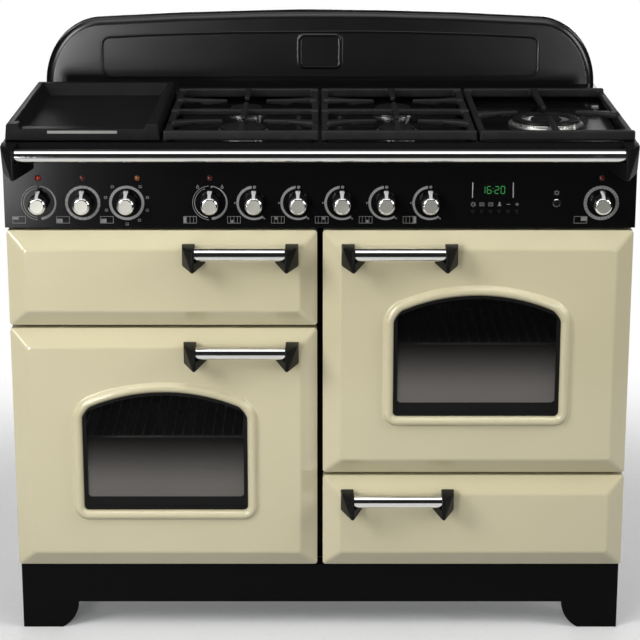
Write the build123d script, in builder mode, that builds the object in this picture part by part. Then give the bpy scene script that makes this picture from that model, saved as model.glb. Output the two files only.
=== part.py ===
from build123d import *
import os

os.makedirs("parts", exist_ok=True)

# Overall sizes in millimetres: x to the right, y to the back, z up from the floor
cooker_width = 1092
body_depth = 600
hob_height = 905
plinth_height = 124
base_thickness = 12
sheet = 3

# Door and drawer fronts
low_front = 171
front_side_gap = 2
centre_gap = 10
fronts_bottom = 128
row_gap = 6
fascia_gap = 5
fascia_height = 137
front_corner = 5
flange_depth = 20
face_rise = 19
bevel_width = 30
liner_depth = 18
liner_inset = 12
liner_margin = 1
door_gap = 4.5

# Arched door windows
window_width = 292
window_sill = 112
window_head = 112
window_rise = 34
window_corner = 8
moulding_width = 19.5
moulding_rise = 9
moulding_round = 5
glass_thickness = 4
glass_lap = 10

# Handles and handrail
bar_radius = 11
handle_centre = 138
handle_length = 202
handle_drop = 31
handle_reach = 50
bar_stand = 30
bracket_base = 41
bracket_nose = 4.5
bracket_slope = 18.5
bracket_flare = 2
bracket_below = 28
bracket_above = 12
rail_drop = 12
rail_bracket_base = 54
rail_bracket_slope = 24
rail_reach = 66
rail_stand = 47
rail_bracket_below = 40
rail_bracket_above = 14

# Frame, liners and runners
frame_depth = 20
stile_width = 26
centre_post = 36
rail_height = 30
sill_height = 16
rear_gap = 107.5
hinge_inset = 9
hinge_setback = 9
hinge_plate = 6
hinge_tail = 30
hinge_nose = 6
hinge_pin_radius = 4
hinge_pin_length = 14
arm_gap = 3
arm_width = 8
arm_height = 12
arm_back_gap = 70
runner_height = 6
grill_ledge = 50
pan_depth = 35
tray_gap = 14
tray_lift = 10
tray_height = 117
tray_back_gap = 30
shelf_bar = 5
shelf_pitch = 36
shelf_height = 202
shelf_back_gap = 48
rack_gap = 12
rack_step = 101
rack_low = 72
rack_high = 144

# Controls on the fascia
knob_rise = 44
knob_edge = 60
knob_pitch = 76
knob_base_radius = 16.5
knob_face_radius = 12
knob_length = 30
knob_skirt = 6
knob_stand = 0.8
pointer_reach = 24
pointer_width = 9
spindle_radius = 4
spindle_length = 24
switch_size = 34
switch_depth = 35
lamp_rise = 44
lamp_offset = 19
lamp_radius = 4.5
lamp_proud = 2
clock_edge = 247.6
clock_rise = 23
clock_width = 67
clock_tall = 25
clock_body_depth = 30
timer_drop = 15
timer_pitch = 15.2
timer_shift = 4.3
timer_count = 6
timer_radius = 3.4
light_edge = 137.4
light_radius = 7
button_proud = 3
button_tail = 6
button_collar = 1.5

# Hob, burners and pan supports
hob_plate = 12
well_depth = 8
rib_width = 21
well_front = 14
well_rear = 156
front_burner = 125
rear_burner_gap = 285
wok_burner = 205
burner_sizes = (42, 30, 34, 34, 62)
burner_flange = 6
burner_flange_height = 4
burner_crown = 8
cap_lap = 2
wok_ring = 18
wok_core = 26
cap_thickness = 5
neck_radius = 12
neck_length = 34
support_gap = 5
support_front = 18
support_rear = 164
support_rise = 18
bar_width = 12
bar_height = 12
finger_reach = 24
wok_finger_reach = 40
leg_width = 7
griddle_wall = 14
griddle_floor = 7
griddle_height = 30
griddle_lip = 9
griddle_corner = 28
hot_zone_side = 11
hot_zone_end = 25
hot_zone_dish = 95
dish_height = 28

# Splashback and plinth
splash_thickness = 25
splash_shoulder = 133
splash_arch = 13
splash_side = 115
emboss_inset = 111
emboss_low = 14
emboss_height = 82
emboss_corner = 10
emboss_arch = 11
emboss_rise = 3
plaque_size = (79, 62)
plaque_rise = 6
plinth_inset = 4
plinth_setback = 8
plinth_sheet = 6
plinth_clear = 50
plinth_leg = 102
plinth_sweep = 30

# Feet, fans, gas and cable entries
foot_radius = 25
foot_pad = 8
foot_stud = 6
foot_inset = 60
fan_radius = 70
fan_hub = 18
fan_depth = 22
fan_blades = 8
motor_radius = 40
motor_length = 50
element_ring = 95
element_radius = 4
element_bend = 30
element_front_gap = 72
grill_bar_drop = 24
rail_size = 18
pipe_radius = 4
pipe_bend = 10
supply_radius = 8
inlet_run = 55
inlet_radius = 16
inlet_length = 40
inlet_window_gap = 4
inlet_bore = 9.3
inlet_bore_length = 15
cable_edge = 126
cable_bore = 12.5
cable_boss = 18
cable_boss_length = 15

# Clearances
running_fit = 0.05
slide_gap = 0.3
hole_gap = 0.5

# Places worked out from the sizes
half_width = cooker_width / 2
front_width = half_width - centre_gap / 2 - front_side_gap
front_reach = face_rise + handle_reach
y_front = (front_reach - body_depth) / 2
y_back = y_front + body_depth
y_face = y_front - face_rise
y_flange = y_front + flange_depth
y_door_back = y_flange + liner_depth
y_frame = y_door_back + door_gap
y_liner = y_frame + frame_depth
y_oven_back = y_back - rear_gap
oven_depth = y_oven_back - y_liner
arm_length = oven_depth - arm_back_gap
tray_length = oven_depth - tray_back_gap
column = (centre_gap + front_width) / 2
hob_bottom = hob_height - hob_plate
fascia_bottom = hob_bottom - fascia_height
fronts_top = fascia_bottom - fascia_gap
tall_front = fronts_top - fronts_bottom - row_gap - low_front
window_spring = tall_front - window_sill - window_rise - window_head
base_bottom = plinth_height - base_thickness
well_floor = hob_height - well_depth
inner_half = half_width - sheet
opening_x = (centre_post / 2, half_width - stile_width)
opening_centre = sum(opening_x) / 2
opening_half = (opening_x[1] - opening_x[0]) / 2
left_split = fronts_bottom + tall_front + row_gap / 2
right_split = fronts_bottom + low_front + row_gap / 2
top_split = fronts_top + fascia_gap / 2
sill_top = plinth_height + sill_height
left_oven_z = (sill_top, left_split - rail_height / 2)
grill_z = (left_split + rail_height / 2, top_split - rail_height / 2)
storage_z = (sill_top, right_split - rail_height / 2)
right_oven_z = (right_split + rail_height / 2, top_split - rail_height / 2)
module_count = 4
module = cooker_width / module_count
modules = [(step - (module_count - 1) / 2) * module for step in range(module_count)]
well_width = module - rib_width
well_y = (y_front + well_front, y_back - well_rear)
support_width = module - support_gap
support_y = (y_front + support_front, y_back - support_rear)
support_top = hob_height + support_rise
rear_burner = body_depth - rear_burner_gap
knob_height = fascia_bottom + knob_rise
knob_edges = [half_width - knob_edge - knob_pitch * step for step in range(3)]
hob_knobs = [knob_pitch * (step - 2.5) for step in range(6)]
gas_places = hob_knobs[1:]
knob_places = [-place for place in knob_edges] + hob_knobs + knob_edges[:1]
lamp_height = knob_height + lamp_rise
lamp_places = (knob_places[0], knob_places[1], knob_places[2] + lamp_offset, hob_knobs[0], knob_edges[0])
clock_centre = half_width - clock_edge
clock_height = knob_height + clock_rise
timer_height = knob_height - timer_drop
timer_first = clock_centre + timer_shift - timer_pitch * (timer_count - 1) / 2
light_place = half_width - light_edge
inlet_place = gas_places[-1] + switch_size / 2 + inlet_run
cable_place = half_width - cable_edge
hot_zone_spot = (modules[0], sum(well_y) / 2)


def front_plane(y, x=0, z=0):
    """A sketch plane that faces the front, with its x to the right and its y up."""
    return Plane(origin=(x, y, z), x_dir=(1, 0, 0), z_dir=(0, -1, 0))


def block(x, y, z, mode=Mode.ADD):
    """Add or cut a box given by its low and high places on each axis."""
    with Locations(((x[0] + x[1]) / 2, (y[0] + y[1]) / 2, (z[0] + z[1]) / 2)):
        Box(x[1] - x[0], y[1] - y[0], z[1] - z[0], mode=mode)


def rod(start, direction, length, radius, mode=Mode.ADD):
    """Add or cut a round bar that runs from a point along a direction."""
    with BuildSketch(Plane(origin=start, z_dir=direction)) as section:
        Circle(radius)
    extrude(section.sketch, amount=length, mode=mode)


def pipe(points, radius, bend):
    """Add a bent round tube along straight runs."""
    with BuildLine() as route:
        FilletPolyline(*points, radius=bend)
    with BuildSketch(Plane(origin=route.line @ 0, z_dir=route.line % 0)) as section:
        Circle(radius)
    sweep(section.sketch, path=route.line)


def sides(low, high, side):
    """A pair of x places on one side of the cooker, in rising order."""
    return tuple(sorted((side * low, side * high)))


def save(name, *builders):
    """Label a finished piece and write it, with each builder's solids kept apart."""
    if len(builders) == 1:
        piece = builders[0].part
    else:
        piece = Compound(children=[builder.part for builder in builders])
    piece.label = name
    export_step(piece, f"parts/{name}.step")


# Base pan, front frame, outer panels, feet and plinth
with BuildPart() as base_frame:
    block((-inner_half, inner_half), (y_frame, y_back - sheet), (base_bottom, plinth_height))
save("base_frame", base_frame)

with BuildPart() as stiles:
    for side in (-1, 1):
        block(sides(opening_x[1], inner_half, side), (y_frame, y_liner), (plinth_height, hob_bottom))
    block((-opening_x[0], opening_x[0]), (y_frame, y_liner), (plinth_height, grill_z[1]))
with BuildPart() as rails:
    for side, split in ((-1, left_split), (1, right_split)):
        span = sides(*opening_x, side)
        block(span, (y_frame, y_liner), (plinth_height, sill_top))
        block(span, (y_frame, y_liner), (split - rail_height / 2, split + rail_height / 2))
with BuildPart() as top_rail:
    block((-opening_x[1], opening_x[1]), (y_frame, y_liner), (grill_z[1], grill_z[1] + rail_height))
save("front_frame", stiles, rails, top_rail)

inlet_spot = (inlet_place, y_back, knob_height)
cable_spot = (cable_place, y_back, knob_height)
inlet_window = inlet_radius + inlet_window_gap
with BuildPart() as side_panels:
    for side in (-1, 1):
        block(sides(inner_half, half_width, side), (y_frame, y_back), (base_bottom, hob_bottom))
with BuildPart() as rear_panel:
    block((-inner_half, inner_half), (y_back - sheet, y_back), (base_bottom, hob_bottom))
    rod(cable_spot, (0, -1, 0), cable_boss_length, cable_boss)
    rod(cable_spot, (0, -1, 0), cable_boss_length, cable_bore, Mode.SUBTRACT)
    block((inlet_place - inlet_window, inlet_place + inlet_window), (y_back - sheet, y_back),
          (knob_height - inlet_window, knob_height + inlet_window), Mode.SUBTRACT)
save("outer_panels", side_panels, rear_panel)

with BuildPart() as levelling_feet:
    for foot_x in (-inner_half + foot_inset, inner_half - foot_inset):
        for foot_y in (y_frame + foot_inset, y_back - foot_inset):
            rod((foot_x, foot_y, 0), (0, 0, 1), foot_pad, foot_radius)
            rod((foot_x, foot_y, 0), (0, 0, 1), base_bottom, foot_stud)
save("levelling_feet", levelling_feet)

plinth_half = half_width - plinth_inset
y_plinth = y_front + plinth_setback
leg_top = plinth_half - plinth_leg
with BuildPart() as plinth:
    with BuildSketch(front_plane(y_plinth + plinth_sheet)):
        with BuildLine():
            Line((0, plinth_clear), (leg_top, plinth_clear))
            TangentArc((leg_top, plinth_clear), (leg_top + plinth_sweep, 0), tangent=(0, -1))
            Polyline((leg_top + plinth_sweep, 0), (plinth_half, 0), (plinth_half, plinth_height),
                     (0, plinth_height))
            mirror(about=Plane.YZ)
        make_face()
    extrude(amount=plinth_sheet)
    block((-plinth_half, plinth_half), (y_plinth, y_frame), (base_bottom, plinth_height))
    for side in (-1, 1):
        block(sides(plinth_half - plinth_sheet, plinth_half, side), (y_plinth, y_frame),
              (0, plinth_height))
save("plinth", plinth)

# Oven liners, grill chamber and what is carried in them
def liner(span, rise):
    """A five-sided sheet box whose mouth matches the frame opening in front of it."""
    block((span[0] - sheet, span[1] + sheet), (y_liner, y_oven_back),
          (rise[0] - sheet, rise[1] + sheet))
    block(span, (y_liner, y_oven_back - sheet), rise, Mode.SUBTRACT)


ovens = ((-1, left_oven_z), (1, right_oven_z))
fan_places = [(side * opening_centre, y_oven_back, sum(rise) / 2) for side, rise in ovens]
with BuildPart() as oven_liners:
    for (side, rise), spot in zip(ovens, fan_places):
        liner(sides(*opening_x, side), rise)
        rod(spot, (0, -1, 0), sheet, spindle_radius + hole_gap, Mode.SUBTRACT)
save("oven_liners", oven_liners)

with BuildPart() as grill_chamber:
    liner(sides(*opening_x, -1), grill_z)
save("grill_chamber", grill_chamber)

y_fan_back = y_oven_back - sheet - slide_gap
with BuildPart() as fan_motors:
    for spot in fan_places:
        rod(spot, (0, 1, 0), motor_length, motor_radius)
        rod(spot, (0, 1, 0), spindle_length + hole_gap, spindle_radius + running_fit, Mode.SUBTRACT)
save("fan_motors", fan_motors)

for name, spot in zip(("left_oven_fan", "right_oven_fan"), fan_places):
    with BuildPart() as fan:
        rod((spot[0], y_fan_back, spot[2]), (0, -1, 0), sheet, fan_radius)
        rod((spot[0], y_fan_back, spot[2]), (0, -1, 0), fan_depth, fan_hub)
        rod((spot[0], spot[1] + spindle_length, spot[2]), (0, -1, 0),
            spindle_length + sheet + fan_depth, spindle_radius)
        with BuildSketch(front_plane(y_fan_back, spot[0], spot[2])):
            with PolarLocations((fan_radius + fan_hub) / 2 - sheet, fan_blades):
                Rectangle(fan_radius - fan_hub, sheet)
        extrude(amount=fan_depth)
    save(name, fan)

y_shelf = (y_liner + rack_gap, y_oven_back - sheet - fan_depth - shelf_back_gap)
shelves = []
racks = []
for side, rise in ovens:
    span = sides(*opening_x, side)
    level = rise[0] + shelf_height
    inside = (span[0] + rack_gap, span[1] - rack_gap)
    with BuildPart() as shelf:
        for bar_y in y_shelf:
            block(inside, (bar_y, bar_y + shelf_bar), (level, level + shelf_bar))
        wires = int((inside[1] - inside[0]) // shelf_pitch)
        for wire in range(wires + 1):
            wire_x = inside[0] + wire * (inside[1] - inside[0] - shelf_bar) / wires
            block((wire_x, wire_x + shelf_bar), y_shelf, (level, level + shelf_bar))
    with BuildPart() as rack:
        for wall, way in ((span[0], 1), (span[1], -1)):
            for rung in (level - shelf_bar, level + rack_step):
                block(sorted((wall, wall + way * (rack_gap + shelf_bar))), y_shelf,
                      (rung, rung + shelf_bar))
            for post_y in (y_shelf[0] + rack_gap, y_shelf[1] - rack_gap):
                block(sorted((wall, wall + way * shelf_bar)), (post_y, post_y + shelf_bar),
                      (level - rack_low, level + rack_high))
    shelves.append(shelf)
    racks.append(rack)
save("oven_shelves", *shelves, *racks)

y_ring = y_oven_back - sheet - fan_depth
grill_bar_z = grill_z[1] - grill_bar_drop
y_grill_back = y_oven_back - sheet
with BuildPart() as heating_elements:
    for spot in fan_places:
        with Locations(Location((spot[0], y_ring, spot[2]), (90, 0, 0))):
            Torus(element_ring, element_radius)
        for end_x in (spot[0] - rack_gap, spot[0] + rack_gap):
            rod((end_x, y_ring, spot[2] - element_ring), (0, 1, 0), fan_depth, element_radius)
    grill_run = [(-1.6, 0), (-1.6, 1), (-0.6, 1), (-0.6, 0.2), (0.6, 0.2), (0.6, 1), (1.6, 1), (1.6, 0)]
    run_width = opening_half / 2
    run_depth = oven_depth - element_front_gap
    pipe([(-opening_centre + run_width * across, y_grill_back - run_depth * out, grill_bar_z)
          for across, out in grill_run], element_radius, element_bend)
    rod((*hot_zone_spot, well_floor - dish_height), (0, 0, 1), dish_height, hot_zone_dish)
save("heating_elements", heating_elements)

# Hinge brackets whose pins carry the two oven doors
pivot_x = column + front_width / 2 - hinge_inset
y_pivot = y_door_back - hinge_setback
right_door_bottom = fronts_top - tall_front
doors = (("left", -1, fronts_bottom), ("right", 1, right_door_bottom))
with BuildPart() as door_hinges:
    for _, side, bottom in doors:
        for seat, way in ((bottom + liner_inset, 1), (bottom + tall_front - liner_inset, -1)):
            thrust = seat - way * slide_gap
            block(sides(pivot_x + hinge_nose, pivot_x + hinge_nose - hinge_tail, side),
                  (y_flange + liner_margin, y_frame), sorted((thrust, thrust - way * hinge_plate)))
            rod((side * pivot_x, y_pivot, thrust), (0, 0, way), hinge_pin_length, hinge_pin_radius)
save("door_hinges", door_hinges)


# Door and drawer fronts
def arched_outline(width, spring, rise, corner):
    """Draw an arched window outline that stands on the sketch origin."""
    half = width / 2
    with BuildLine() as outline:
        Polyline((-half, spring), (-half, 0), (half, 0), (half, spring))
        ThreePointArc((half, spring), (0, spring + rise), (-half, spring))
    face = make_face(outline.edges())
    fillet(face.vertices(), corner)


def front_shell(centre_x, bottom, height):
    """Add a pressed front: a square flange, a sloping bevel and a flat raised face."""
    middle = bottom + height / 2
    face_size = (front_width - 2 * bevel_width, height - 2 * bevel_width)
    with BuildSketch(front_plane(y_flange, centre_x, middle)) as flange:
        RectangleRounded(front_width, height, front_corner)
    extrude(flange.sketch, amount=flange_depth)
    with BuildSketch(front_plane(y_front, centre_x, middle)) as rim:
        RectangleRounded(front_width, height, front_corner)
    with BuildSketch(front_plane(y_face, centre_x, middle)) as face:
        RectangleRounded(*face_size, front_corner)
    loft([rim.sketch, face.sketch], ruled=True)
    with BuildSketch(front_plane(y_flange, centre_x, middle)) as rear_pocket:
        Rectangle(front_width - 2 * sheet, height - 2 * sheet)
    extrude(rear_pocket.sketch, amount=flange_depth, mode=Mode.SUBTRACT)
    with BuildSketch(front_plane(y_front, centre_x, middle)) as face_pocket:
        Rectangle(face_size[0] - 2 * sheet, face_size[1] - 2 * sheet)
    extrude(face_pocket.sketch, amount=face_rise - sheet, mode=Mode.SUBTRACT)


def grip(name, centre_x, half_length, y_base, axis_z, stand, base, slope, nose, above):
    """A round bar between two brackets whose front narrows downwards to a ridge."""
    outer = centre_x + half_length
    reach, below = nose
    y_nose = y_base - reach
    nose_in = outer - slope - bracket_nose
    with BuildPart() as brackets:
        for level, corner in ((axis_z - below, outer - slope), (axis_z + above, outer - bracket_flare)):
            with BuildSketch(Plane.XY.offset(level)):
                Polygon((outer, y_base), (corner, y_nose), (nose_in, y_nose), (outer - base, y_base),
                        align=None)
        loft(ruled=True)
        block((outer - base, nose_in), (y_nose, y_base), (axis_z - bar_radius, axis_z + above),
              Mode.SUBTRACT)
        mirror(about=Plane.YZ.offset(centre_x))
    with BuildPart() as bar:
        bar_half = nose_in - centre_x
        rod((centre_x - bar_half, y_base - stand, axis_z), (1, 0, 0), 2 * bar_half, bar_radius)
    save(name, bar, brackets)


def front_handle(name, side, top):
    """The handle of one door or drawer front."""
    grip(name, side * handle_centre, handle_length / 2, y_face, top - handle_drop, bar_stand,
         bracket_base, bracket_slope, (handle_reach, bracket_below), bracket_above)


for name, side, bottom in doors:
    centre_x = side * column
    sill = bottom + window_sill
    crown = sill + window_spring + window_rise
    with BuildPart() as door:
        front_shell(centre_x, bottom, tall_front)
        with BuildSketch(front_plane(y_face, centre_x, sill)):
            arched_outline(window_width, window_spring, window_rise, window_corner)
            offset(amount=moulding_width)
        extrude(amount=moulding_rise)
        fillet(door.faces().sort_by(Axis.Y)[0].edges(), moulding_round)
        with BuildSketch(front_plane(y_front, centre_x, sill)):
            arched_outline(window_width, window_spring, window_rise, window_corner)
        extrude(amount=face_rise + moulding_rise, mode=Mode.SUBTRACT)
    save(f"{name}_oven_door", door)

    with BuildPart() as door_liner:
        edge = front_width / 2 - liner_margin
        liner_z = (bottom + liner_inset, bottom + tall_front - liner_inset)
        block((centre_x - edge, centre_x + edge), (y_flange, y_door_back), liner_z)
        block((centre_x - window_width / 2, centre_x + window_width / 2), (y_flange, y_door_back),
              (sill, crown), Mode.SUBTRACT)
        for seat, way in zip(liner_z, (1, -1)):
            rod((side * pivot_x, y_pivot, seat), (0, 0, way), hinge_pin_length,
                hinge_pin_radius + running_fit, Mode.SUBTRACT)
    save(f"{name}_door_liner", door_liner)

    with BuildPart() as door_glass:
        with BuildSketch(front_plane(y_face + sheet + glass_thickness, centre_x, sill)):
            arched_outline(window_width, window_spring, window_rise, window_corner)
            offset(amount=glass_lap)
        extrude(amount=glass_thickness)
        pane = window_width / 2 + glass_lap
        block((centre_x - pane, centre_x + pane), (y_flange - glass_thickness, y_flange),
              (sill - glass_lap, crown + glass_lap))
    save(f"{name}_door_glass", door_glass)
    front_handle(f"{name}_door_handle", side, bottom + tall_front)

# Grill drawer: front, carriage on two arms, pan and trivet
grill_bottom = fronts_top - low_front
with BuildPart() as grill_front:
    front_shell(-column, grill_bottom, low_front)
save("grill_front", grill_front)
front_handle("grill_handle", -1, fronts_top)


def front_backing(centre_x, bottom, height):
    """Add the plate that closes the back of a drawer front."""
    edge = front_width / 2 - liner_margin
    block((centre_x - edge, centre_x + edge), (y_flange, y_door_back),
          (bottom + liner_margin, bottom + height - liner_margin))


walls = ((-opening_x[1], 1), (-opening_x[0], -1))
ledge_z = grill_z[0] + grill_ledge
arm_z = (ledge_z + runner_height + slide_gap, ledge_z + runner_height + slide_gap + arm_height)
with BuildPart() as grill_carriage:
    front_backing(-column, grill_bottom, low_front)
    for wall, way in walls:
        block(sorted((wall + way * arm_gap, wall + way * (arm_gap + arm_width))),
              (y_door_back, y_liner + arm_length), arm_z)
save("grill_carriage", grill_carriage)

pan_x = (walls[0][0] + arm_gap + arm_width + arm_gap, walls[1][0] - arm_gap - arm_width - arm_gap)
pan_y = (y_liner + rack_gap, y_liner + arm_length - rack_gap)
pan_floor = arm_z[1] - pan_depth + sheet
with BuildPart() as grill_pan:
    block(pan_x, pan_y, (arm_z[1] - pan_depth, arm_z[1]))
    block((pan_x[0] - arm_width, pan_x[1] + arm_width), pan_y, (arm_z[1], arm_z[1] + sheet))
    block((pan_x[0] + sheet, pan_x[1] - sheet), (pan_y[0] + sheet, pan_y[1] - sheet),
          (pan_floor, arm_z[1] + sheet), Mode.SUBTRACT)
trivet_x = (pan_x[0] + rack_gap, pan_x[1] - rack_gap)
trivet_y = (pan_y[0] + rack_gap, pan_y[1] - rack_gap)
trivet_z = (pan_floor + rack_gap, pan_floor + rack_gap + shelf_bar)
with BuildPart() as trivet:
    for bar_y in (trivet_y[0], trivet_y[1] - shelf_bar):
        block(trivet_x, (bar_y, bar_y + shelf_bar), trivet_z)
        for leg_x in (trivet_x[0], trivet_x[1] - shelf_bar):
            block((leg_x, leg_x + shelf_bar), (bar_y, bar_y + shelf_bar), (pan_floor, trivet_z[1]))
    wires = int((trivet_x[1] - trivet_x[0]) // shelf_pitch)
    for wire in range(wires + 1):
        wire_x = trivet_x[0] + wire * (trivet_x[1] - trivet_x[0] - shelf_bar) / wires
        block((wire_x, wire_x + shelf_bar), trivet_y, trivet_z)
save("grill_pan", grill_pan, trivet)

# Storage drawer: front with its tray
with BuildPart() as storage_front:
    front_shell(column, fronts_bottom, low_front)
save("storage_front", storage_front)
front_handle("storage_handle", 1, fronts_bottom + low_front)

tray_x = (opening_x[0] + tray_gap, opening_x[1] - tray_gap)
tray_y = (y_door_back, y_liner + tray_length)
tray_z = (storage_z[0] + tray_lift, storage_z[0] + tray_lift + tray_height)
slide_z = (tray_z[0] + tray_lift, tray_z[0] + 2 * tray_lift)
tray_rails = ((tray_x[0] - arm_width, tray_x[0]), (tray_x[1], tray_x[1] + arm_width))
with BuildPart() as storage_tray:
    front_backing(column, fronts_bottom, low_front)
    block(tray_x, tray_y, tray_z)
    block((tray_x[0] + sheet, tray_x[1] - sheet), (tray_y[0], tray_y[1] - sheet),
          (tray_z[0] + sheet, tray_z[1]), Mode.SUBTRACT)
    for rail in tray_rails:
        block(rail, (y_liner, tray_y[1]), slide_z)
save("storage_tray", storage_tray)

with BuildPart() as slide_runners:
    for wall, way in walls:
        block(sorted((wall, wall + way * (arm_gap + arm_width))), (y_liner, y_liner + arm_length),
              (ledge_z, ledge_z + runner_height))
    for rail in tray_rails:
        block((rail[0] + liner_margin, rail[1] - liner_margin), (y_liner, tray_y[1]),
              (plinth_height, slide_z[0] - slide_gap))
save("slide_runners", slide_runners)

# Fascia with its controls
switch_half = switch_size / 2
y_switch = y_front + sheet
clock_x = (clock_centre - clock_width / 2, clock_centre + clock_width / 2)
clock_z = (clock_height - clock_tall / 2, clock_height + clock_tall / 2)
timer_places = [timer_first + timer_pitch * step for step in range(timer_count)]
buttons = [(f"timer_button_{step + 1}", place, timer_height, timer_radius)
           for step, place in enumerate(timer_places)]
buttons.append(("oven_light_button", light_place, knob_height, light_radius))
with BuildPart() as control_panel:
    block((-half_width, half_width), (y_front, y_frame), (fascia_bottom, hob_bottom))
    block((-inner_half, inner_half), (y_switch, y_frame), (fascia_bottom + sheet, hob_bottom - sheet),
          Mode.SUBTRACT)
    for place in knob_places:
        rod((place, y_front, knob_height), (0, 1, 0), sheet, spindle_radius + hole_gap, Mode.SUBTRACT)
    for place in lamp_places:
        rod((place, y_front, lamp_height), (0, 1, 0), sheet, lamp_radius + running_fit, Mode.SUBTRACT)
    for _, place, height, radius in buttons:
        rod((place, y_front, height), (0, 1, 0), sheet, radius + slide_gap, Mode.SUBTRACT)
    block(clock_x, (y_front, y_switch), clock_z, Mode.SUBTRACT)
save("control_panel", control_panel)

with BuildPart() as indicator_lenses:
    for place in lamp_places:
        rod((place, y_front - lamp_proud, lamp_height), (0, 1, 0), lamp_proud + sheet, lamp_radius)
    block(clock_x, (y_front, y_switch), clock_z)
save("indicator_lenses", indicator_lenses)

y_board = y_switch + 2 * button_tail
with BuildPart() as taps_and_switches:
    for place in knob_places:
        block((place - switch_half, place + switch_half), (y_switch, y_switch + switch_depth),
              (knob_height - switch_half, knob_height + switch_half))
        rod((place, y_switch, knob_height), (0, 1, 0), spindle_length + hole_gap,
            spindle_radius + running_fit, Mode.SUBTRACT)
    block((clock_x[0] - sheet, clock_x[1] + sheet), (y_switch, y_switch + clock_body_depth),
          (clock_z[0] - sheet, clock_z[1] + sheet))
    block((timer_places[0] - timer_pitch / 2, timer_places[-1] + timer_pitch / 2),
          (y_board, y_switch + clock_body_depth), (timer_height - timer_pitch / 2, clock_z[0]))
save("taps_and_switches", taps_and_switches)

knob_names = ("grill_knob", "left_oven_knob", "oven_function_knob", "hot_zone_knob",
              "front_left_burner_knob", "rear_left_burner_knob", "rear_right_burner_knob",
              "front_right_burner_knob", "wok_burner_knob", "right_oven_knob")
y_knob = y_front - knob_stand
for name, place in zip(knob_names, knob_places):
    with BuildPart() as knob:
        rod((place, y_knob, knob_height), (0, -1, 0), knob_skirt, knob_base_radius)
        with BuildSketch(front_plane(y_knob - knob_skirt, place, knob_height)):
            Circle(knob_base_radius)
        with BuildSketch(front_plane(y_knob - knob_length, place, knob_height)):
            Circle(knob_face_radius)
        loft()
        block((place - pointer_width / 2, place + pointer_width / 2),
              (y_knob - knob_length, y_knob - knob_skirt), (knob_height, knob_height + pointer_reach))
        rod((place, y_knob, knob_height), (0, 1, 0), knob_stand + sheet + spindle_length, spindle_radius)
    save(name, knob)

for name, place, height, radius in buttons:
    with BuildPart() as button:
        rod((place, y_front - button_proud, height), (0, 1, 0), button_proud + sheet + button_tail, radius)
        rod((place, y_switch + slide_gap, height), (0, 1, 0), button_tail - slide_gap,
            radius + button_collar)
    save(name, button)

grip("handrail", 0, half_width, y_front, hob_height - rail_drop, rail_stand,
     rail_bracket_base, rail_bracket_slope, (rail_reach, rail_bracket_below), rail_bracket_above)

# Hob plate, hot zone, burners and gas rail
burner_spots = ((modules[1], front_burner), (modules[1], rear_burner), (modules[2], rear_burner),
                (modules[2], front_burner), (modules[3], wok_burner))
burners = [(x, y_front + depth, size) for (x, depth), size in zip(burner_spots, burner_sizes)]
neck_foot = well_floor - neck_length
with BuildPart() as hob_top:
    block((-half_width, half_width), (y_front, y_back), (hob_bottom, hob_height))
    for centre_x in modules:
        block((centre_x - well_width / 2, centre_x + well_width / 2), well_y, (well_floor, hob_height),
              Mode.SUBTRACT)
    for x, y, _ in burners:
        rod((x, y, hob_bottom), (0, 0, 1), hob_plate, neck_radius + hole_gap, Mode.SUBTRACT)
    rod((*hot_zone_spot, hob_bottom), (0, 0, 1), hob_plate, hot_zone_dish + hole_gap, Mode.SUBTRACT)
save("hob_top", hob_top)

with BuildPart() as hot_zone_glass:
    glass_half = well_width / 2 - hot_zone_side
    block((modules[0] - glass_half, modules[0] + glass_half),
          (well_y[0] + hot_zone_end, well_y[1] - hot_zone_end), (well_floor, well_floor + glass_thickness))
save("hot_zone_glass", hot_zone_glass)

crown_top = well_floor + burner_crown
with BuildPart() as burner_heads:
    for x, y, size in burners:
        rod((x, y, neck_foot), (0, 0, 1), neck_length, neck_radius)
        rod((x, y, well_floor), (0, 0, 1), burner_flange_height, size + burner_flange)
        rod((x, y, well_floor), (0, 0, 1), burner_crown, size)
    wok_x, wok_y, wok_size = burners[-1]
    rod((wok_x, wok_y, well_floor + burner_flange_height), (0, 0, 1), burner_crown,
        wok_size - wok_ring, Mode.SUBTRACT)
    rod((wok_x, wok_y, well_floor), (0, 0, 1), burner_crown, wok_core)
save("burner_heads", burner_heads)

with BuildPart() as burner_caps:
    for x, y, size in burners:
        rod((x, y, crown_top), (0, 0, 1), cap_thickness, size + cap_lap)
    rod((wok_x, wok_y, crown_top), (0, 0, 1), cap_thickness, wok_size - wok_ring, Mode.SUBTRACT)
    rod((wok_x, wok_y, crown_top), (0, 0, 1), cap_thickness, wok_core + cap_lap)
save("burner_caps", burner_caps)

y_rail = y_switch + switch_depth
pipe_z = (knob_height + switch_half + neck_foot) / 2
with BuildPart() as gas_rail:
    block((gas_places[0] - switch_half, gas_places[-1] + switch_half), (y_rail, y_rail + rail_size),
          (knob_height - rail_size / 2, knob_height + rail_size / 2))
    pipe([(gas_places[-1] + switch_half, y_rail + rail_size / 2, knob_height),
          (inlet_place, y_rail + rail_size / 2, knob_height),
          (inlet_place, y_back - inlet_length, knob_height)], supply_radius, 2 * pipe_bend)
    rod(inlet_spot, (0, -1, 0), inlet_length, inlet_radius)
    rod(inlet_spot, (0, -1, 0), inlet_bore_length, inlet_bore, Mode.SUBTRACT)
    for place, (x, y, _) in zip(gas_places, burners):
        y_tap = y_switch + switch_half
        pipe([(place, y_tap, knob_height + switch_half), (place, y_tap, pipe_z),
              (x, y, pipe_z), (x, y, neck_foot)], pipe_radius, pipe_bend)
save("gas_rail", gas_rail)

# Cast pan supports, whose bars meet face to face, and griddle
bar_z = (support_top - bar_height, support_top)
half_bar = bar_width / 2
inner_half_width = support_width / 2 - bar_width
inner_y = (support_y[0] + bar_width, support_y[1] - bar_width)


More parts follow.
